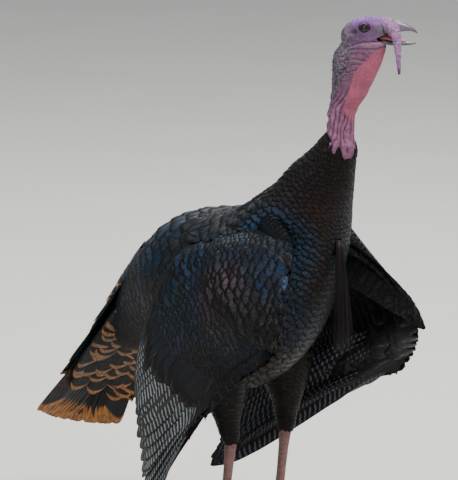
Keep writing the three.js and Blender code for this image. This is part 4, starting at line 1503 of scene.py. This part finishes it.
def wing_tint(strength=1.0):
    """Teal and blue coverts with a rosy gleam at the shoulder, browner below and black in front; painted
    shade darkens the lowest coverts and, by the strength, a whole row such as the greater coverts.
    """
    def colours(points, roots, n):
        cloud = grain(points, 55, 14)[:, None]
        fleck = RNG.uniform(0, 1, (n, 1))
        teal, blue, rose = rgb(0.010, 0.033, 0.048), rgb(0.011, 0.025, 0.060), rgb(0.070, 0.036, 0.040)
        patch = ease(75, 30, np.linalg.norm(np.abs(points) - WING_GLEAM, axis=1))[:, None]
        low = ease(400, 320, points[:, 2])[:, None]
        colour = mix(blue, teal, ease(0.3, 0.7, cloud))
        colour = mix(colour, rgb(0.032, 0.025, 0.022), low * 0.7 * (0.5 + 0.5 * fleck))
        colour = mix(colour, rose, patch * 0.7) * (0.65 + 0.7 * RNG.uniform(0, 1, (n, 1)))
        colour = colour * (0.25 + 0.75 * ease(6, 15, roots[:, 0]))[:, None]
        # painted shade: the strength dims a whole row, and the coverts darken towards the bottom of the wing
        colour = colour * strength * (0.3 + 0.7 * ease(300, 365, points[:, 2]))[:, None]
        return colour, mix(rgb(0.020, 0.020, 0.022), rgb(0.065, 0.055, 0.045), fleck)
    return colours


def lining_tint(points, roots, n):
    """Nearly black feathers under the wing."""
    cloud = grain(points, 55, 14)[:, None]
    fleck, _ = RNG.uniform(0, 1, (2, n, 1))  # as many draws as for the outer face
    grey = mix(rgb(0.006, 0.006, 0.008), rgb(0.016, 0.017, 0.022), cloud * 0.6 + 0.4 * fleck)
    return grey, mix(grey, rgb(0.03, 0.03, 0.034), 0.5)


def flight_tint(base, bar):
    def colours(points, roots, n):
        tone = 0.8 + 0.4 * RNG.uniform(0, 1, (n, 1))
        return rgb(*base) * tone, rgb(*bar) * tone
    return colours


FLIGHT = (  # name, u of the first and last root, count, row of the roots, widths, u of the first and last tip
    ("secondaries", (0.45, 3.93), 24, 0.04, (42, 46), (0.75, 4.85)),
    ("primaries", (4.12, 6.6), 10, 0.05, (38, 36), (4.95, 6.72)),
)


def lay_flight(side, materials, bars):
    """Secondaries and primaries as long straight vanes, each tilted over the next."""
    flat = wing_sheet(side, 0)
    sign = outward_sign(flat)
    for (name, root_u, count, start, wide, tip_u), material in zip(FLIGHT, materials):
        u, tip_u = np.linspace(*root_u, count), np.linspace(*tip_u, count)
        roots = np.stack([np.full(count, row_at(flat, start)), column_of(flat, u)], 1)
        ends = 1.0 - (0.02 * RNG.uniform(0, 1, count))
        size = (run_to(flat, roots, ends), np.linspace(*wide, count))
        label = name + "_vanes_" + side
        tract(label, flat, roots, "flight", material, size,
              flight_tint((0.004, 0.004, 0.005), bars), slope=0.0, lift=0.3, cells=(8, 26), camber=0.01,
              roll=0.075 * sign, patch=np.array([0.02, 0.3]), thick=FLIGHT_THICK, end=row_at(flat, ends),
              level=float(row_at(flat, 0.35)), drift=column_of(flat, tip_u) - column_of(flat, u))
        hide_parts(name + "_" + side)


def cover(u):
    """How far back over the flight feathers the coverts reach at each place along the wing."""
    return np.interp(u, [0, 2.8, 3.8, 4.6, 7], [0.88, 0.86, 0.62, 0.34, 0.24])


def lay_lesser_coverts(side, material):
    """Rows of small feathers from the leading edge backward."""
    outer = wing_sheet(side, 1)

    def shows(points, s, c, gap):
        return gap * mix(0.9, 1.35, ease(0, 16, s))

    roots = lattice(outer, 46, 0.25, float(row_at(outer, 0.66)), shows, jitter=0.1)
    reach = (roots[:, 0] - 9) / (outer.rows - 10)
    roots = roots[reach < cover(np.interp(roots[:, 1], np.arange(outer.cols), outer.u)) * 0.66]
    gap, step = roots[:, 2], roots[:, 3]
    size = (step * 2.3 * vary(len(roots), 0.07), np.minimum(gap * 2.6, 36) * vary(len(roots), 0.07))
    lean = outward_sign(wing_sheet(side, 0)) * np.radians(20)
    lean = lean * ease(8, 22, roots[:, 0]) * ease(8, 30, roots[:, 1])
    tract("lesser_coverts_" + side, outer, roots, "covert", material, size, wing_tint(),
          slope=0.13, cells=(4, 6), lift=1.4, turn=lean)


def lay_greater_coverts(side, material):
    """One row of long coverts over the roots of the flight feathers."""
    outer = wing_sheet(side, 1)
    count = 24
    u = np.interp(np.linspace(0.02, 0.98, count), np.linspace(0, 1, outer.cols), outer.u)
    part = cover(u)
    roots = np.stack([row_at(outer, 0.36 * part), column_of(outer, u)], 1)
    ends = row_at(outer, part * (1 + 0.02 * RNG.normal(size=count)))
    size = (run_to(outer, roots, part), np.interp(u, [0, 3, 5, 7], [44, 44, 34, 26]))
    # painted shade: the greater coverts are dimmed to 0.3 of the other coverts
    tract("greater_coverts_" + side, outer, roots, "covert", material, size,
          wing_tint(0.3), slope=0.02, lift=1.2, cells=(6, 12), roll=0.05 * outward_sign(wing_sheet(side, 0)),
          patch=np.array([0.012, 0.08]), end=ends, level=float(row_at(outer, 0.35)),
          drift=5.0 * ease(0.3, 2.5, u) * ease(7, 6, u))


def lay_lining(side, material):
    """Coverts under the wing, short of its tip."""
    inner = wing_sheet(side, -1)

    def shows(points, s, c, gap):
        return gap * 1.5

    roots = lattice(inner, 34, 1.0, float(row_at(inner, 0.30)), shows, jitter=0.1)
    roots = roots[np.interp(roots[:, 1], np.arange(inner.cols), inner.u) < 5.4]
    gap, step = roots[:, 2], roots[:, 3]
    size = (step * 2.2 * vary(len(roots), 0.07), gap * 2.4 * vary(len(roots), 0.07))
    tract("under_coverts_" + side, inner, roots, "covert", material, size, lining_tint,
          slope=0.08, cells=(4, 6))


def build_wings(settings):
    contour = contour_material("turkey_covert")
    flight = (flight_material("turkey_secondary", 38), flight_material("turkey_primary", 36))
    # painted shade: the left wing's bars are painted darker than the right wing's
    for side, bars in (("right", (0.185, 0.205, 0.22)), ("left", (0.075, 0.082, 0.10))):
        lay_flight(side, flight, bars)
        lay_lesser_coverts(side, contour)
        lay_greater_coverts(side, contour)
        lay_lining(side, contour)


def body_point(t, a):
    """A point on the outer shape of the trunk: a is the bearing from the back towards the left."""
    x, z, tilt, top, low, half = curve(TORSO, np.asarray(t, float)).T
    tilt, a = np.radians(tilt), np.radians(a)
    high = np.where(np.cos(a) > 0, top, low) * np.cos(a)
    return np.stack([x + np.cos(tilt) * high, half * np.sin(a), z + np.sin(tilt) * high], -1)


CAPE = [  # bearing on the body, start along it, u on the wing, places along the wing for the rows behind
    (14, 3.5, None, None),
    (30, 3.6, None, None),
    (46, 3.7, 0.0, (-0.75, -0.2, 0.25, 0.55)),
    (62, 3.8, 0.6, (-0.9, -0.3, 0.15, 0.5)),
    (78, 3.95, 1.4, (-1.0, -0.45, 0.0, 0.36)),
    (94, 4.1, 2.3, (-1.0, -0.55, -0.1, 0.2)),
    (110, 4.3, 3.1, (-1.0, -0.6, -0.25, 0.1)),
    (124, 4.5, 3.9, (-1.0, -0.6, -0.2, 0.04)),
]


def cape_sheet(side):
    """A sheet from the body over the shoulder of the wing, so that their feathers run into one coat."""
    turn = 1 if side == "left" else -1
    hand = np.array([1.0, turn, 1.0])
    outer = wing_sheet(side, 1)
    net = []
    for bearing, start, u, places in CAPE:
        if u is None:
            t = start + np.array([0, 0.75, 1.55, 2.4, 3.3])
            column = body_point(t, np.full(5, float(bearing))) * hand
            column = column - np.array([0, 0, 1.0]) * np.array([5, 3, 2, 2, 4])[:, None]
        else:
            front = body_point([start], [float(bearing)]) * hand
            front = front - unit(front - np.array([front[0, 0] - 60, 0, front[0, 2] - 20])) * 7
            q = np.array(places)
            rows = np.where(q < 0, 9 * (1 + q), 9 + np.clip(q, 0, 1) * (outer.rows - 10))
            p, n = outer.at(rows, np.full(4, float(column_of(outer, u))), outer.points, outer.normal)
            column = np.concatenate([front, p + n * np.array([4.0, 4.0, 3.5, 2.5])[:, None]])
        net.append(column)
    net = np.array(net).transpose(1, 0, 2)
    fine = np.stack([curve(row, np.linspace(0, len(CAPE) - 1, 57)) for row in net])
    fine = np.stack([curve(column, np.linspace(0, 4, 41)) for column in fine.transpose(1, 0, 2)], axis=1)
    away = np.broadcast_to(np.array([0.2, turn, 0.6]), fine.shape)
    return Sheet(fine, away=away)


def build_cape(settings):
    """The mantle: broad feathers from the back over the shoulder of each wing."""
    material = contour_material("turkey_cape")

    def shows(points, s, c, gap):
        return gap * 1.15

    for side in ("right", "left"):
        sheet = cape_sheet(side)
        roots = lattice(sheet, 32, 0.5, 31.0, shows, jitter=0.1)
        gap, step = roots[:, 2], roots[:, 3]
        size = (step * 2.3 * vary(len(roots), 0.08), gap * 2.5 * vary(len(roots), 0.08))
        tract("cape_feathers_" + side, sheet, roots, "body", material, size, cape_tint,
              lift=0.6 * ease(0, 8, roots[:, 0]))


def cape_tint(points, roots, n):
    """Blue and green mantle with bronze flecks, rosy on the shoulder and brown below."""
    cloud = grain(points, 50, 22)[:, None]
    fleck = RNG.uniform(0, 1, (n, 1))
    colour = mix(rgb(0.009, 0.023, 0.052), rgb(0.008, 0.024, 0.036), ease(0.3, 0.7, cloud))
    bronze = ease(0.35, 0.75, grain(points, 34, 61))[:, None]
    colour = mix(colour, rgb(0.036, 0.022, 0.016), 0.45 * fleck * bronze)
    patch = ease(80, 30, np.linalg.norm(np.abs(points) - CAPE_GLEAM, axis=1))[:, None]
    colour = mix(colour, rgb(0.070, 0.036, 0.038), 0.7 * patch)
    low = ease(460, 390, points[:, 2])[:, None]
    colour = mix(colour, rgb(0.028, 0.021, 0.019), np.clip(low + 0.3 * fleck, 0, 0.8))
    colour = colour * (0.65 + 0.7 * RNG.uniform(0, 1, (n, 1)))
    return colour, mix(rgb(0.022, 0.026, 0.034), rgb(0.058, 0.050, 0.044), fleck)


TAIL_AXIS = unit(TAIL_TIP - TAIL_ROOT)
TAIL_LENGTH = float(np.linalg.norm(TAIL_TIP - TAIL_ROOT))
TAIL_LEFT = unit(TAIL_SIDE)
TAIL_UP = unit(np.cross(TAIL_AXIS, TAIL_LEFT))
TAIL_UP = TAIL_UP * (1 if TAIL_UP[2] > 0 else -1)


def tail_point(left, v, above):
    u = left / TAIL_HALF[1]
    along = v * (TAIL_LENGTH - TAIL_ROUND * u * u)
    return (TAIL_ROOT + along[..., None] * TAIL_AXIS + left[..., None] * TAIL_LEFT
            + (above - TAIL_DROP * u * u)[..., None] * TAIL_UP)


def tail_sheet(v_from, v_to, half, above, side=1):
    v, a = np.meshgrid(np.linspace(v_from, v_to, 41), np.sin(np.linspace(-1.5, 1.5, 41)), indexing="ij")
    points = tail_point(a * mix(half[0], half[1], v), v, side * above(v, a))
    return Sheet(points, away=np.broadcast_to(TAIL_UP * side, points.shape))


def tail_tint(points, roots, n):
    tone = 0.85 + 0.3 * RNG.uniform(0, 1, (n, 1))
    return rgb(0.030, 0.013, 0.006) * tone, rgb(0.42, 0.16, 0.035) * tone


def over_tint(points, roots, n):
    """Green and blue coverts with chestnut to buff tips."""
    fleck = RNG.uniform(0, 1, (n, 1))
    green = mix(rgb(0.014, 0.034, 0.050), rgb(0.020, 0.045, 0.028), fleck)
    return green, mix(rgb(0.46, 0.19, 0.045), rgb(0.62, 0.40, 0.17), RNG.uniform(0, 1, (n, 1)) ** 1.5)


def beneath_tint(points, roots, n):
    """Dark coverts under the tail, their tips buff at the vent and orange towards the end."""
    fleck = RNG.uniform(0, 1, (n, 1)) ** 1.5
    low = ease(330, 230, points[:, 2])[:, None]
    tip = mix(mix(rgb(0.20, 0.13, 0.07), rgb(0.36, 0.16, 0.045), fleck), rgb(0.42, 0.16, 0.035), low)
    return mix(rgb(0.010, 0.020, 0.024), rgb(0.014, 0.011, 0.009), np.clip(low + fleck, 0, 1)), tip


def lay_rectrices():
    """The fan itself: each feather a little over the next, from the middle one outward."""
    flat = tail_sheet(0.0, 1.0, TAIL_HALF, lambda v, a: 0 * v)
    count = 18
    a = (np.arange(count) + 0.5) / count * 2 - 1
    roots = np.stack([np.full(count, 1.2), (np.arcsin(a * 0.96) / 1.5 + 1) * 20], 1)
    size = (TAIL_LENGTH * 0.965 - TAIL_ROUND * a * a, np.full(count, 46.0))
    material = tail_material("turkey_rectrix", (0.008, 0.006, 0.005), (0.82, 0.945))
    tract("rectrices", flat, roots, "tail", material, size, tail_tint,
          slope=0.0, lift=2.6 - 3.2 * np.abs(a), cells=(8, 22), sway=0.6, camber=0.012,
          roll=0.055 * outward_sign(flat) * np.sign(a), patch=np.array([0.03, 0.4]), thick=FLIGHT_THICK)
    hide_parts("tail")


def lay_tail_coverts(name, node, sheet, columns, start, long, rows, material, colours):
    """Rows of wide tipped feathers, each so far behind the last, over or under the fan."""

    def shows(points, s, c, gap):
        return np.full(len(s), TAIL_TIER)

    roots = lattice(sheet, columns, start, 27.0, shows, jitter=0.1)
    n = len(roots)
    size = (np.full(n, long) * vary(n, 0.08), np.full(n, 46.0) * vary(n, 0.1))
    tract(name, sheet, roots, "covert", material, size, colours, slope=0.07, cells=(6, rows),
          sway=12.0, patch=np.array([0.02, 0.05]))
    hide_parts(node)


def build_tail(settings):
    def covering(reach, depth):
        def above(v, a):
            b = np.clip(v / reach, 0, 1)
            thick = mix(depth[0], depth[1], b**0.8) * np.sqrt(np.clip(1 - a**2, 0, 1)) + 1
            return 2.6 + np.maximum(thick - 5, 0.2)
        return above

    lay_rectrices()
    covert = tail_material("turkey_tail_covert", (0.004, 0.006, 0.009), (0.74, 0.90), 7.0)
    over = tail_sheet(-0.15, 0.9, (78, 92), covering(0.74, (46, 6)))
    lay_tail_coverts("tail_tiers", "tail_coverts_upper", over, 12, 2.4, 82.0, 10, covert, over_tint)
    beneath = tail_sheet(-0.12, 0.88, (62, 92), covering(0.66, (40, 5)), side=-1)
    lay_tail_coverts("under_tail", "tail_coverts_under", beneath, 11, 2.0, 78.0, 8, covert, beneath_tint)


def thigh_tint(points, roots, n):
    fleck = RNG.uniform(0, 1, (n, 1))
    colour = mix(rgb(0.010, 0.008, 0.007), rgb(0.022, 0.017, 0.014), fleck)
    return colour, np.tile(rgb(0.035, 0.028, 0.022), (n, 1))


def build_leg_coat(settings):
    """Small close feathers round both thighs, down to the bare shank."""
    material = contour_material("turkey_thigh")

    def shows(points, s, c, gap):
        return gap * mix(1.35, 2.6, ease(18, 36, s))

    for side, turn in (("left", 1), ("right", -1)):
        rows = [[x, y * turn, z, r] for x, y, z, r in THIGH]
        rings = tube_rings(rows, 41, 64)
        outer = Sheet(rings, closed=True)
        deep = np.minimum(5.5, 4.5 * ease(178, 215, rings[..., 2]) + 0.3)
        sheet = Sheet(outer.points - outer.normal * deep[..., None], closed=True)
        roots = lattice(sheet, 34, 2.0, 38.0, shows, jitter=0.1)
        gap, step = roots[:, 2], roots[:, 3]
        size = (step * 2.0 * vary(len(roots), 0.08), gap * 2.5 * vary(len(roots), 0.08))
        tract("thigh_feathers_" + side, sheet, roots, "covert", material, size, thigh_tint,
              cells=(4, 5))


# ---------------------------------------------------------------- stage


def away_at(azimuth, elevation):
    """Direction from the bird to something so many degrees round it and up."""
    a, e = math.radians(azimuth), math.radians(elevation)
    return np.array([math.sin(a) * math.cos(e), -math.cos(a) * math.cos(e), math.sin(e)])


def aim(name, data, away, far):
    """Sets a lamp or camera so many metres away from the middle of the view, looking at it."""
    holder = bpy.data.objects.new(name, data)
    holder.location = Vector(metres(VIEW_TARGET) + away * far)
    holder.rotation_euler = Vector(-away).to_track_quat("-Z", "Y").to_euler()
    bpy.context.scene.collection.objects.link(holder)
    return holder


def lamp(name, azimuth, elevation, size, power, colour=(1, 1, 1)):
    light = bpy.data.lights.new(name, "AREA")
    light.size, light.energy, light.color = size, power, colour
    aim(name, light, away_at(azimuth, elevation), LAMP_FAR)


def lay_floor():
    s = Shader("studio_floor", Roughness=0.9)
    cloud = s.noise(s.place(), 3.0, 4.0)
    material = s.set(Base_Color=s.mix(cloud, (0.62, 0.61, 0.58), (0.68, 0.67, 0.64)))
    bm = bmesh.new()
    bmesh.ops.create_grid(bm, x_segments=2, y_segments=2, size=30)
    mesh = bpy.data.meshes.new("studio_floor")
    bm.to_mesh(mesh)
    bm.free()
    mesh.materials.append(material)
    floor = bpy.data.objects.new("studio_floor", mesh)
    bpy.context.scene.collection.objects.link(floor)


def build_stage(settings):
    lay_floor()
    world = bpy.data.worlds.new("studio_world")
    bpy.context.scene.world = world
    world.use_nodes = True
    world.node_tree.nodes["Background"].inputs["Color"].default_value = (0.93, 0.96, 1.0, 1)
    world.node_tree.nodes["Background"].inputs["Strength"].default_value = settings.sky
    lamp("key", 80, 55, 1.6, settings.key, (1, 0.98, 0.94))
    lamp("fill", -20, 35, 3.0, settings.key * 0.35, (0.94, 0.97, 1))
    lamp("rim", 215, 50, 2.0, settings.key * 0.6)
    lens = bpy.data.cameras.new("camera")
    lens.lens = VIEW_LENS
    lens.clip_end = 200
    bpy.context.scene.camera = aim("camera", lens, away_at(VIEW_AZIMUTH, VIEW_RISE), VIEW_FAR)


# ---------------------------------------------------------------- add-on


class TurkeySettings(bpy.types.PropertyGroup):
    skin_cell: FloatProperty(name="Skin cell", description="Grid size of the skin before refining",
                             default=0.0025, unit="LENGTH")
    columns: IntProperty(name="Columns", description="Feather columns round the body", default=72)
    feather_show: FloatProperty(name="Shown length", default=1.7, subtype="FACTOR",
                                description="Shown part of a feather by column spacing")
    feather_width: FloatProperty(name="Width", description="Feather width by column spacing",
                                 default=2.35, subtype="FACTOR")
    feather_rise: FloatProperty(name="Rise", description="Rise of a feather from root to tip",
                                default=0.12, subtype="FACTOR")
    bristles: IntProperty(name="Bristles", description="Hair-like feathers on head and neck", default=900)
    beard_strands: IntProperty(name="Beard strands", description="Strands in the beard", default=170)
    sky: FloatProperty(name="Sky", description="Strength of the even light", default=0.5)
    key: FloatProperty(name="Key light", description="Power of the main light", default=240.0,
                       subtype="POWER")


class TURKEY_OT_skin(bpy.types.Operator):
    """Lays one skin over head, neck, body, wings and legs"""

    bl_idname = "turkey.skin"
    bl_label = "Skin"

    def execute(self, context):
        build_skin(context.scene.turkey)
        return {"FINISHED"}


class TURKEY_OT_eyes(bpy.types.Operator):
    """Adds the eyeballs with iris and cornea"""

    bl_idname = "turkey.eyes"
    bl_label = "Eyes"

    def execute(self, context):
        build_eyes(context.scene.turkey)
        return {"FINISHED"}


class TURKEY_OT_bill(bpy.types.Operator):
    """Adds the upper and lower bill and the tongue"""

    bl_idname = "turkey.bill"
    bl_label = "Bill"

    def execute(self, context):
        build_bill(context.scene.turkey)
        return {"FINISHED"}


class TURKEY_OT_snood(bpy.types.Operator):
    """Adds the fleshy snood that hangs over the bill"""

    bl_idname = "turkey.snood"
    bl_label = "Snood"

    def execute(self, context):
        build_snood(context.scene.turkey)
        return {"FINISHED"}


class TURKEY_OT_bristles(bpy.types.Operator):
    """Adds the hair-like feathers of head and neck"""

    bl_idname = "turkey.bristles"
    bl_label = "Bristles"

    def execute(self, context):
        build_bristles(context.scene.turkey)
        return {"FINISHED"}


class TURKEY_OT_body_coat(bpy.types.Operator):
    """Covers the neck and trunk with feathers"""

    bl_idname = "turkey.body_coat"
    bl_label = "Body coat"

    def execute(self, context):
        build_body_coat(context.scene.turkey)
        return {"FINISHED"}


class TURKEY_OT_wings(bpy.types.Operator):
    """Adds flight feathers and coverts to both wings"""

    bl_idname = "turkey.wings"
    bl_label = "Wings"

    def execute(self, context):
        build_wings(context.scene.turkey)
        return {"FINISHED"}


class TURKEY_OT_cape(bpy.types.Operator):
    """Lays feathers from the body over the shoulders of the wings"""

    bl_idname = "turkey.cape"
    bl_label = "Cape"

    def execute(self, context):
        build_cape(context.scene.turkey)
        return {"FINISHED"}


class TURKEY_OT_tail(bpy.types.Operator):
    """Adds the tail feathers and their coverts"""

    bl_idname = "turkey.tail"
    bl_label = "Tail"

    def execute(self, context):
        build_tail(context.scene.turkey)
        return {"FINISHED"}


class TURKEY_OT_leg_coat(bpy.types.Operator):
    """Covers the thighs with feathers"""

    bl_idname = "turkey.leg_coat"
    bl_label = "Leg coat"

    def execute(self, context):
        build_leg_coat(context.scene.turkey)
        return {"FINISHED"}


class TURKEY_OT_beard(bpy.types.Operator):
    """Adds the strands of the beard"""

    bl_idname = "turkey.beard"
    bl_label = "Beard"

    def execute(self, context):
        build_beard(context.scene.turkey)
        return {"FINISHED"}


class TURKEY_OT_claws(bpy.types.Operator):
    """Adds the claws and the spurs"""

    bl_idname = "turkey.claws"
    bl_label = "Claws"

    def execute(self, context):
        build_claws(context.scene.turkey)
        return {"FINISHED"}


class TURKEY_OT_stage(bpy.types.Operator):
    """Adds floor, lights and camera"""

    bl_idname = "turkey.stage"
    bl_label = "Stage"

    def execute(self, context):
        build_stage(context.scene.turkey)
        return {"FINISHED"}


STEPS = (
    TURKEY_OT_skin,
    TURKEY_OT_eyes,
    TURKEY_OT_bill,
    TURKEY_OT_snood,
    TURKEY_OT_bristles,
    TURKEY_OT_body_coat,
    TURKEY_OT_wings,
    TURKEY_OT_cape,
    TURKEY_OT_tail,
    TURKEY_OT_leg_coat,
    TURKEY_OT_beard,
    TURKEY_OT_claws,
    TURKEY_OT_stage,
)


class TURKEY_PT_panel(bpy.types.Panel):
    """Lists the sizes and the steps of the turkey"""

    bl_idname = "TURKEY_PT_panel"
    bl_label = "Wild turkey"
    bl_space_type = "VIEW_3D"
    bl_region_type = "UI"
    bl_category = "Turkey"

    def draw(self, context):
        for label in TurkeySettings.__annotations__:
            self.layout.prop(context.scene.turkey, label)
        for step in STEPS:
            self.layout.operator(step.bl_idname)


CLASSES = (TurkeySettings, *STEPS, TURKEY_PT_panel)


def register():
    for cls in CLASSES:
        bpy.utils.register_class(cls)
    bpy.types.Scene.turkey = PointerProperty(type=TurkeySettings)


def unregister():
    del bpy.types.Scene.turkey
    for cls in reversed(CLASSES):
        bpy.utils.unregister_class(cls)


def main():
    register()
    for step in STEPS:
        getattr(bpy.ops.turkey, step.bl_idname.split(".")[1])()


if __name__ == "__main__":
    main()
